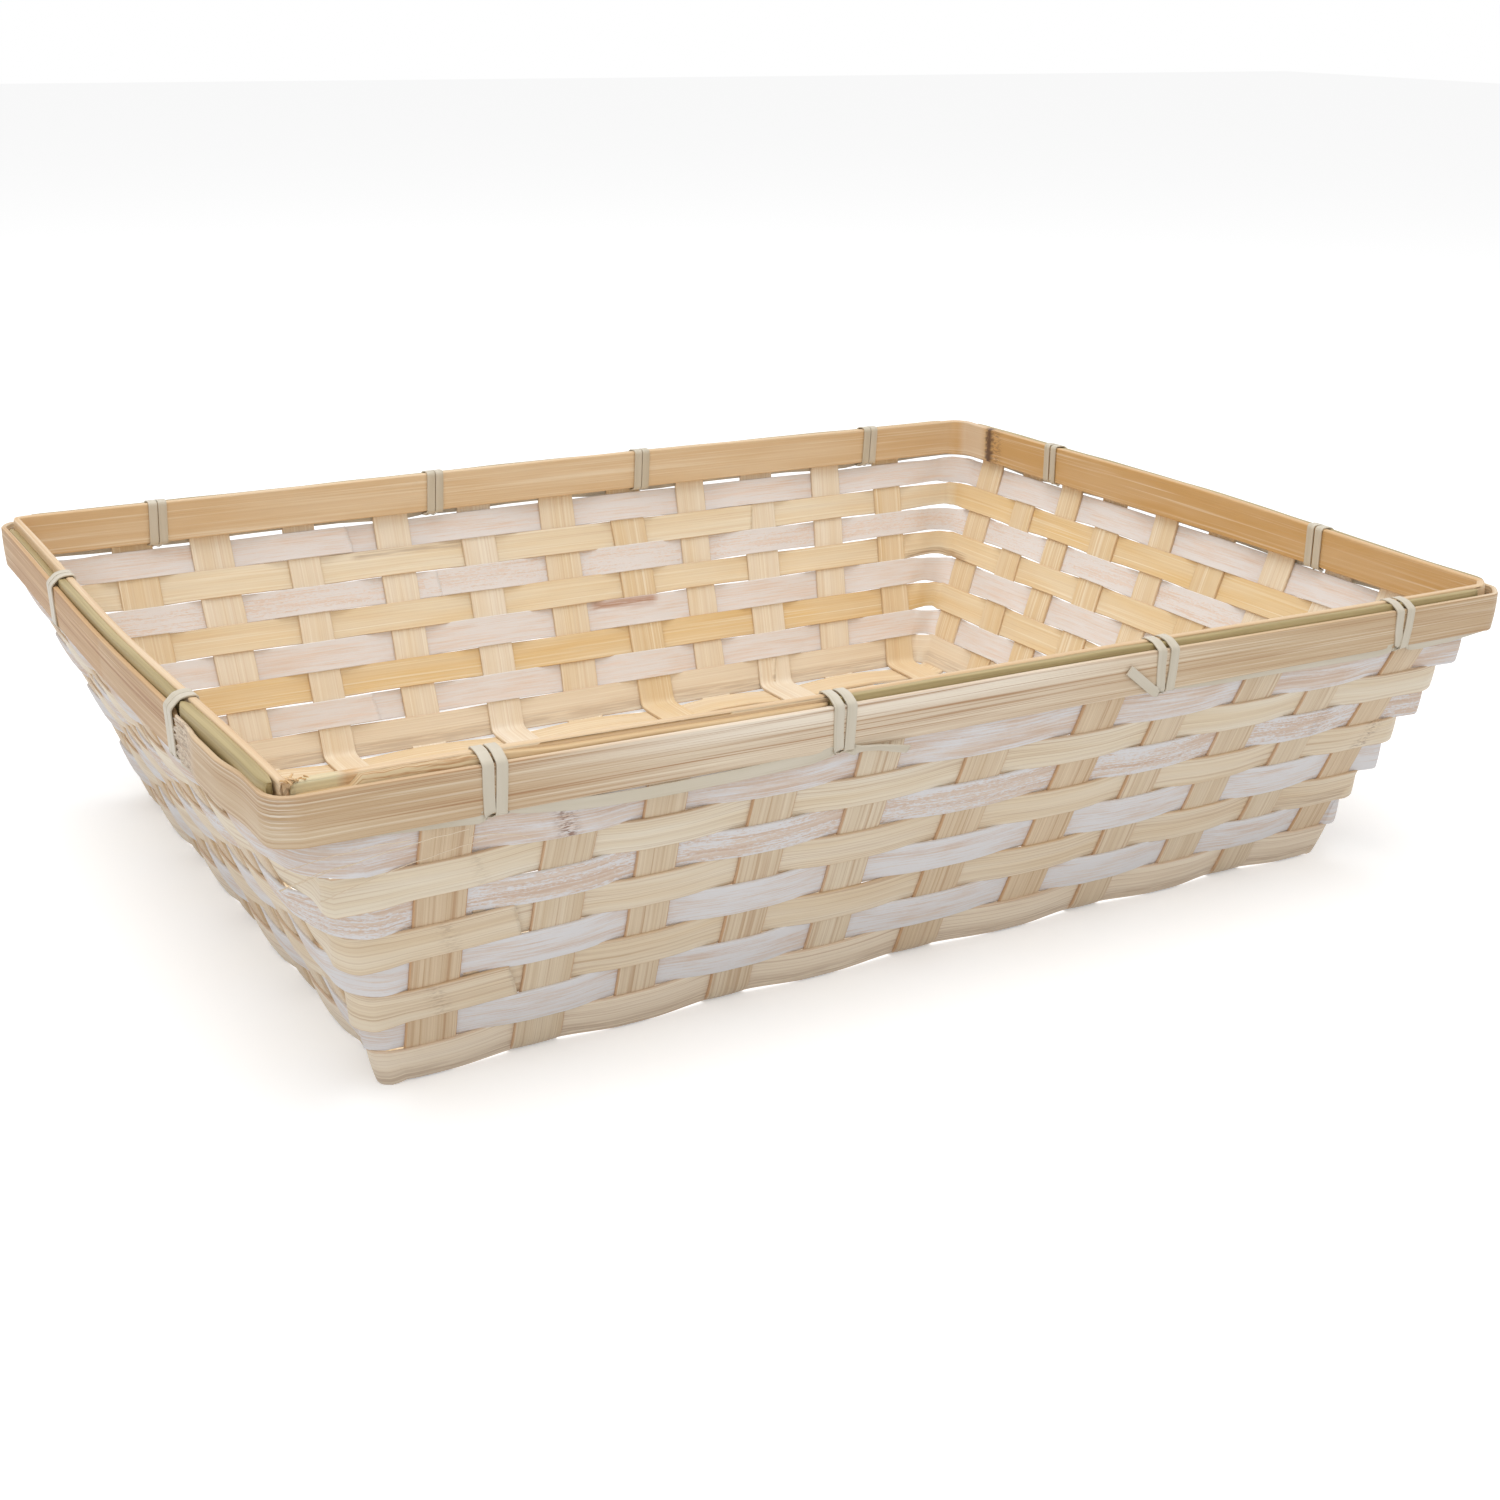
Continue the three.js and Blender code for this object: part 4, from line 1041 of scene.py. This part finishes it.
# One filler: straight along its wall on the stakes' ends, thinner towards both of its own.
def makeFiller(index, wall, first, last, skinFirst, skinLast):
    s = np.arange(first, last, rim["step"])
    t = loopT(rimDistance(wall, s), rimStarts)
    isFirst, isFifth, isLast = (float(index == number) for number in (0, 4, 5))
    # The first one is low up to the node at the front-left corner, splintered after it, and sinks.
    node, (tornEnd, tornEase) = filling["node"], filling["torn"]
    before, after, fifth = filling["sunk"]
    torn = isFirst * rise(s, node, 2) * fall(s, tornEnd, tornEase)
    sunk = before * fall(s, node, 3) + after * rise(s, tornEnd, 30) + 0.25 * torn * wander(7, s, 9)
    sunk = isFirst * sunk + isFifth * fifth * fall(s, -80, 6)
    top = basket["innerTop"] - filling["under"] - rim["innerDrop"] * (wall == 0)
    top = top + 0.15 * wander(230 + index, s, 70) - sunk
    bottom = basket["stakeTop"] + filling["overStakes"]
    centre, across, out, width = slatPath(t, bottom, top, -0.05, -0.12, rimCorners)
    # On a wall whose corner is round the filler still runs straight to its end.
    outwards = basket["rimHalf"][1 - wall % 2] - filling["inwards"] + 0.5 * isLast
    centre[:, :2] = wallAlong[wall] * s[:, None] + wallOut[wall] * outwards
    out[:, :2] = wallOut[wall]
    taper = np.minimum(smooth((s - first) / 6 + 0.45), smooth((last - s) / 12 + 0.4))
    thickness = (filling["thickness"] + filling["thicker"] * isLast) * taper
    skin = skinFirst + (skinLast - skinFirst) * (s - first) / (last - first)
    makeStrip(f"rim_filling_{index + 1:02d}", centre, across, out, width, thickness,
              stripSection(9, 0.35, 0.1, flat=0.78), skinBamboo, f"rim_filler_{index + 1:02d}",
              marks={"skin": skin, "pale": 0.3 * torn, "streak": torn}, ragged=(0.8, 0.8))


makeOuterSlat()
makeInnerSlat()
for index, values in enumerate(fillers):
    makeFiller(index, *values)
print("rim slats and fillers ready")

# The binding. Ties in the order in which it goes round: wall, place of the first turn along it,
# distance to the second turn, how far the run to the next tie sags (0 where it goes behind the
# slat), and how far the turns lean towards each other at their feet.
binding = {
    "width": 3.4,
    "thickness": 0.55,
    "lift": 0.42,                   # of its mid thickness off the slats
    "runDrop": 0.9,                 # of the runs' middle below the outer slat
    "tucked": (0.7, 1.3),           # offset and height over the slat's lower edge where hidden
    "shown": 0.7,                   # how much further two of the hidden runs look out
    "shownAfter": (1, 9),           # ties that they follow
    "inFront": 0.9,                 # and how much further out the first of them starts
    "ties": [
        (0, 67.0, 5.2, -0.8, 0.8), (0, 171.4, 5.0, 0, 1.5), (1, -79.3, 4.2, 0, 0.2), (1, 85.2, 4.4, 0, 0.3),
        (2, -168.3, 3.7, 0, 0), (2, -48.6, 3.7, 0, 0), (2, 48.4, 3.7, 0, 0), (2, 164.2, 3.7, 0, 0),
        (3, -70.7, 4.0, 0, 0.2), (3, 76.8, 3.7, 0, 0.1), (0, -165.0, 4.1, 0.9, 0.4), (0, -54.5, 4.4, 0, 0.4),
    ],
    "tail": (13.5, 9.0),            # loose end before the first tie: back along the wall, and up
    "stub": 20.0,                   # loose end after the last tie
}


# The strip's path unrolled: distance along the rim, offset from the stakes and height, then the
# direction of its width in the same three.
def bindingKeys():
    lift = binding["lift"]
    outerLow = rim["gapLow"] + rim["outerThickness"] + lift
    outerHigh = rim["gapHigh"] + rim["outerThickness"] + lift
    innerLow = -(rim["gapLow"] + rim["innerThickness"] + lift)
    innerHigh = -(rim["gapHigh"] + rim["innerThickness"] + lift)
    overOuter, underOuter = basket["outerTop"] + lift, basket["outerBottom"] - lift
    underInner = basket["innerBottom"] - lift
    run = basket["outerBottom"] - binding["runDrop"]
    alongRim, upright = (1, 0, 0), (0, 0, 1)
    keys = []

    def add(start, *found):
        for s, offset, z, width in found:
            keys.append((start + s, offset, z, *width))

    def addTurn(s, pitch, pinch, turn, overInner):
        isFirst, lean = 1 - turn, pinch * (1 - 2 * turn)
        add(s + pitch * turn, *((shift, offset, z, alongRim) for shift, offset, z in (
            (lean, outerLow + 0.05 + 0.3 * pinch * turn, underOuter + 0.5),
            (lean * 0.25, (outerLow + outerHigh) / 2 + 0.2 * pinch * turn, (underOuter + overOuter) / 2),
            (0, outerHigh + 0.12, overOuter - 0.5),
            (-0.1, outerHigh - 0.5, overOuter + 0.15),
            (-0.3, rim["gapHigh"] - 0.6, overInner - 0.35),
            (-0.4, -rim["gapHigh"], overInner + 0.12),
            (-0.4, innerHigh + 0.5, overInner + 0.12),
            (-0.4, innerHigh - 0.12, overInner - 0.6),
            (0, innerLow - 0.12, underInner + 0.6),
            (0.2, innerLow + 0.6, underInner - 0.12),
            (0.4, -0.6, underInner - 0.6),
            (0.4 + pitch * 0.6 * isFirst, 0.4, underOuter - 0.5),
            ((pitch + 0.3) * isFirst, outerLow - 1.2, underOuter - 0.3),
        )))

    # It comes out from behind the slat as a wedge, and hangs in front where it sags.
    def addSaggingRun(a, ahead, sag):
        add(a, (1.4, outerLow - 1.2, run + 1.9, (0.5, 0.2, 0.8)),
            (3.2, outerLow - 1.1, run + 1.8, (0.1, 0.1, 1)))
        for share in (0.06, 0.12, 0.2, 0.3, 0.4, 0.5, 0.65, 0.8, 0.92):
            dip = sag * np.sin(np.pi * share ** 0.7) - 1.6 * fall(share, 0, 0.24)
            hang = max(sag, 0) * rise(share, 0.14, 0.2) * np.sin(np.pi * share)
            place = (ahead - a) * share
            add(a, (place, outerLow - 1.05 + 1.7 * hang, run - dip, (0, -0.4 * hang, 0.9)))
        add(ahead, (-2.0, outerLow - 0.6, run + 0.9, (0, 0.1, 1)))

    # Behind the outer slat, over the stakes' outer faces, most of it is out of sight.
    def addHiddenRun(a, ahead, number):
        offset, lifted = binding["tucked"]
        shown = binding["shown"] * (number in binding["shownAfter"])
        inFront = binding["inFront"] * (number == binding["shownAfter"][0])
        hidden = basket["outerBottom"] + lifted
        add(a, (1.4, outerLow - 1.0, run + 1.7, (0.5, 0.2, 0.8)),
            (3.2, outerLow - 0.9, run + 1.2 - shown, upright),
            (8.0, 1.3 + inFront, run + 1.0 - shown, upright),
            (22.0, 1.0 + inFront, run + 1.2 - 0.8 * shown, upright))
        add(a, *(((ahead - a) * share, offset, hidden, upright) for share in (0.35, 0.5, 0.65)))
        add(ahead, (-30.0, 0.8, run + 2.1 - 0.6 * shown, upright), (-10.0, 1.2, run + 1.3 - shown, upright),
            (-2.0, outerLow - 0.8, run + 1.1 - shown, (0, 0.1, 1)))

    ties = []
    for wall, place, *others in binding["ties"]:
        start = rimDistance(wall, place)
        while ties and start < ties[-1][0]:
            start += rimLength
        ties.append((start, wall, *others))
    back, tailRise = binding["tail"]
    slant = unit(np.array([tailRise, 0, back]))
    add(ties[0][0], (-back, outerHigh + 0.5, run + tailRise + 1.5, slant),
        (-3.0, outerLow + 0.5, run + 2.0, slant), (-0.5, outerLow + 0.1, run + 0.6, (0.8, 0, 0.6)))
    for number, (s, wall, pitch, sag, pinch) in enumerate(ties):
        overInner = basket["innerTop"] + lift - rim["innerDrop"] * (wall == 0)
        for turn in range(2):
            addTurn(s, pitch, pinch, turn, overInner)
        if number + 1 == len(ties):
            continue
        ahead = ties[number + 1][0]
        if sag != 0:
            addSaggingRun(s + pitch, ahead, sag)
        else:
            addHiddenRun(s + pitch, ahead, number)
        add(ahead, (0.2, outerLow - 1.0, run + 1.4, (0.7, 0.2, 0.7)))
    add(s + pitch, (2.6, outerLow + 0.35, run + 0.5, (0.5, 0.5, 0.7)),
        (6.5, outerLow + 0.15, run + 0.3, (0.1, 0.72, 0.7)),
        (11, outerLow + 0.5, run - 0.2, (0.1, 0.72, 0.7)),
        (binding["stub"], outerLow + 1.3, run - 2.0, (0.2, 0.55, 0.8)))
    return np.array(keys, float)


# The strip's keys, softened and bent round the rim. Its width is kept square to its path.
def makeBinding():
    keys = soften(resample(bindingKeys(), 0.3), 7)
    keys[:, 3:] = unit(soften(keys[:, 3:], 15))
    keys = resample(keys, 0.7)
    s, offset, z, width = keys[:, 0], keys[:, 1], keys[:, 2], keys[:, 3:]
    place, facing = loopPlace(loopT(s, rimStarts), *basket["rimHalf"], rimCorners)
    along = np.stack([-facing[:, 1], facing[:, 0]], 1)
    centre = np.column_stack([place + facing * offset[:, None], z])
    across = np.column_stack([along * width[:, :1] + facing * width[:, 1:2], width[:, 2]])
    tangent = unit(np.gradient(centre, axis=0))
    across = unit(across - tangent * (across * tangent).sum(1)[:, None])
    out = unit(np.cross(tangent, across))
    makeStrip("rim_binding", centre, across, out, binding["width"], binding["thickness"],
              stripSection(7, 0.12, 0.03, flat=0.86), bindingStrip, "rim_lashing")


makeBinding()
print("binding wound")

# Loose fibres under the rim at the front-left corner: place along the front wall, height, length,
# rise over the length, and how far they stand off.
looseFibres = [
    (-196, 85, 52, 9, 2.2), (-188, 80, 46, 11, 2.8), (-204, 88, 34, 2.5, 2.4), (-160, 84, 18, -4, 2.0),
    (-212, 83, 20, 5, 2.6),
]
fibre = {"width": 0.2, "thickness": 0.16, "arch": 1.6, "standsOff": 1.4}
upwards = np.array([0, 0, 1.0])


# One fibre: a low arch along the front wall that stands off by most of a half sine.
def makeLooseFibre(index, place, height, length, climb, stand):
    share = np.linspace(0, 1, 40)
    s = place - length / 2 + length * share
    z = height + climb * (share - 0.5) + fibre["arch"] * np.sin(np.pi * share)
    z = z + 0.3 * wander(400 + index, s, 14)
    offset = stand + fibre["standsOff"] * np.sin(np.pi * share * 0.8)
    centre = np.stack([s, -(halfAt(1, z) + offset), z], 1)
    tangent = unit(np.gradient(centre, axis=0))
    out = unit(np.cross(tangent, upwards))
    across = unit(np.cross(out, tangent))
    makeStrip(f"loose_fibre_{index + 1:02d}", centre, across, out, fibre["width"], fibre["thickness"],
              stripSection(3, 0.03, flat=0), naturalFinish, None)


for index, values in enumerate(looseFibres):
    makeLooseFibre(index, *values)
print("loose fibres laid")

# Crumbs of split bamboo where the inner slat's two ends meet, each a short bent sliver.
crumbs = {
    "count": 11,
    "place": (-215.8, -160.0, basket["innerTop"] - 0.2),
    "spread": (3.6, 1.1, 0.4),
    "length": 2.1,
    "width": 0.5,
    "thickness": 0.35,
    "bend": 0.12,                   # share of the length
}


# One crumb: a short line at a drawn place and turn, bent up in its middle.
def makeCrumb(index, draw):
    middle = np.array(crumbs["place"]) + draw.uniform(-1, 1, 3) * crumbs["spread"]
    turn, tip = draw.uniform(0, np.pi), draw.uniform(-0.3, 0.6)
    length = crumbs["length"] * draw.uniform(0.6, 1.3)
    share = np.linspace(-0.5, 0.5, 7)
    direction = unit(np.array([np.cos(turn), np.sin(turn), tip]))
    centre = middle + direction * (share * length)[:, None]
    centre[:, 2] += crumbs["bend"] * length * np.cos(np.pi * share)
    tangent = unit(np.gradient(centre, axis=0))
    across = unit(np.cross(tangent, upwards))
    out = unit(np.cross(tangent, across))
    makeStrip(f"crumb_{index + 1:02d}", centre, across, out, crumbs["width"], crumbs["thickness"],
              stripSection(3, 0.08, flat=0), innerFinish, None,
              marks={"gold": 1.0}, ragged=(0.4, 0.4))


draw = np.random.default_rng(61)
for index in range(crumbs["count"]):
    makeCrumb(index, draw)
print("crumbs strewn")

# Camera, floor and light, in metres.
camera = {
    "place": (-0.3666, -0.6488, 0.3033),
    "turn": 30.28,                  # degrees from +Y towards +X
    "down": 20.15,
    "roll": 0.82,
    "lens": 50.08,                  # on a sensor 36 mm wide
}
studio = {
    "skyStrength": 0.72,            # that lights the basket; seen rays get plain white
    "floorSize": 12,
    "floorColour": (0.86, 0.86, 0.86, 1),
    "floorGlow": 0.32,              # for seen rays alone
    "lamps": (                      # name, place, size, watts
        ("topLight", (-0.1, 0.0, 1.5), 1.3, 12.0), ("leftLight", (-0.9, -1.3, 1.1), 1.0, 2.5),
    ),
}
white = (1, 1, 1, 1)


def aimCamera():
    turn, down, roll = (np.radians(camera[key]) for key in ("turn", "down", "roll"))
    forward = Vector((np.sin(turn) * np.cos(down), np.cos(turn) * np.cos(down), -np.sin(down)))
    level = Vector((np.cos(turn), -np.sin(turn), 0))
    upward = level.cross(forward)
    right = level * np.cos(roll) + upward * np.sin(roll)
    top = upward * np.cos(roll) - level * np.sin(roll)
    lens = bpy.data.cameras.new("camera")
    lens.lens = camera["lens"]
    lens.sensor_width = 36
    lens.clip_start = 0.01
    holder = bpy.data.objects.new("camera", lens)
    bpy.context.scene.collection.objects.link(holder)
    rotation = Matrix((right, top, -forward)).transposed().to_4x4()
    holder.matrix_world = Matrix.Translation(camera["place"]) @ rotation
    bpy.context.scene.camera = holder


# 1 for seen rays: the camera's own, and those in gloss or through a clear thing.
def seenRays(tree):
    rays = tree.nodes.new("ShaderNodeLightPath")
    total = rays.outputs["Is Camera Ray"]
    for name in ("Is Glossy Ray", "Is Transmission Ray"):
        node = tree.nodes.new("ShaderNodeMath")
        node.operation = "MAXIMUM"
        tree.links.new(total, node.inputs[0])
        tree.links.new(rays.outputs[name], node.inputs[1])
        total = node.outputs[0]
    return total


def makeSky():
    world = bpy.data.worlds.new("studio")
    bpy.context.scene.world = world
    world.use_nodes = True
    tree = world.node_tree
    background = tree.nodes["Background"]
    background.inputs["Color"].default_value = white
    strength = tree.nodes.new("ShaderNodeMapRange")
    strength.inputs["To Min"].default_value = studio["skyStrength"]
    strength.inputs["To Max"].default_value = 1.0
    tree.links.new(seenRays(tree), strength.inputs["Value"])
    tree.links.new(strength.outputs["Result"], background.inputs["Strength"])


def makeFloor():
    bpy.ops.mesh.primitive_plane_add(size=studio["floorSize"])
    floor = bpy.context.active_object
    floor.name = "studioFloor"
    material = bpy.data.materials.new("paleFloor")
    material.use_nodes = True
    tree = material.node_tree
    shader = tree.nodes["Principled BSDF"]
    shader.inputs["Base Color"].default_value = studio["floorColour"]
    shader.inputs["Roughness"].default_value = 0.9
    shader.inputs["Specular IOR Level"].default_value = 0
    shader.inputs["Emission Color"].default_value = white
    glow = tree.nodes.new("ShaderNodeMath")
    glow.operation = "MULTIPLY"
    glow.inputs[1].default_value = studio["floorGlow"]
    tree.links.new(seenRays(tree), glow.inputs[0])
    tree.links.new(glow.outputs[0], shader.inputs["Emission Strength"])
    floor.data.materials.append(material)


def makeLamps():
    for name, place, size, power in studio["lamps"]:
        lamp = bpy.data.lights.new(name, "AREA")
        lamp.size = size
        lamp.energy = power
        holder = bpy.data.objects.new(name, lamp)
        holder.location = place
        holder.rotation_euler = (-Vector(place)).to_track_quat("-Z", "Y").to_euler()
        bpy.context.scene.collection.objects.link(holder)


aimCamera()
makeSky()
makeFloor()
makeLamps()
bpy.context.scene.view_settings.view_transform = "Standard"
print("camera and studio ready")
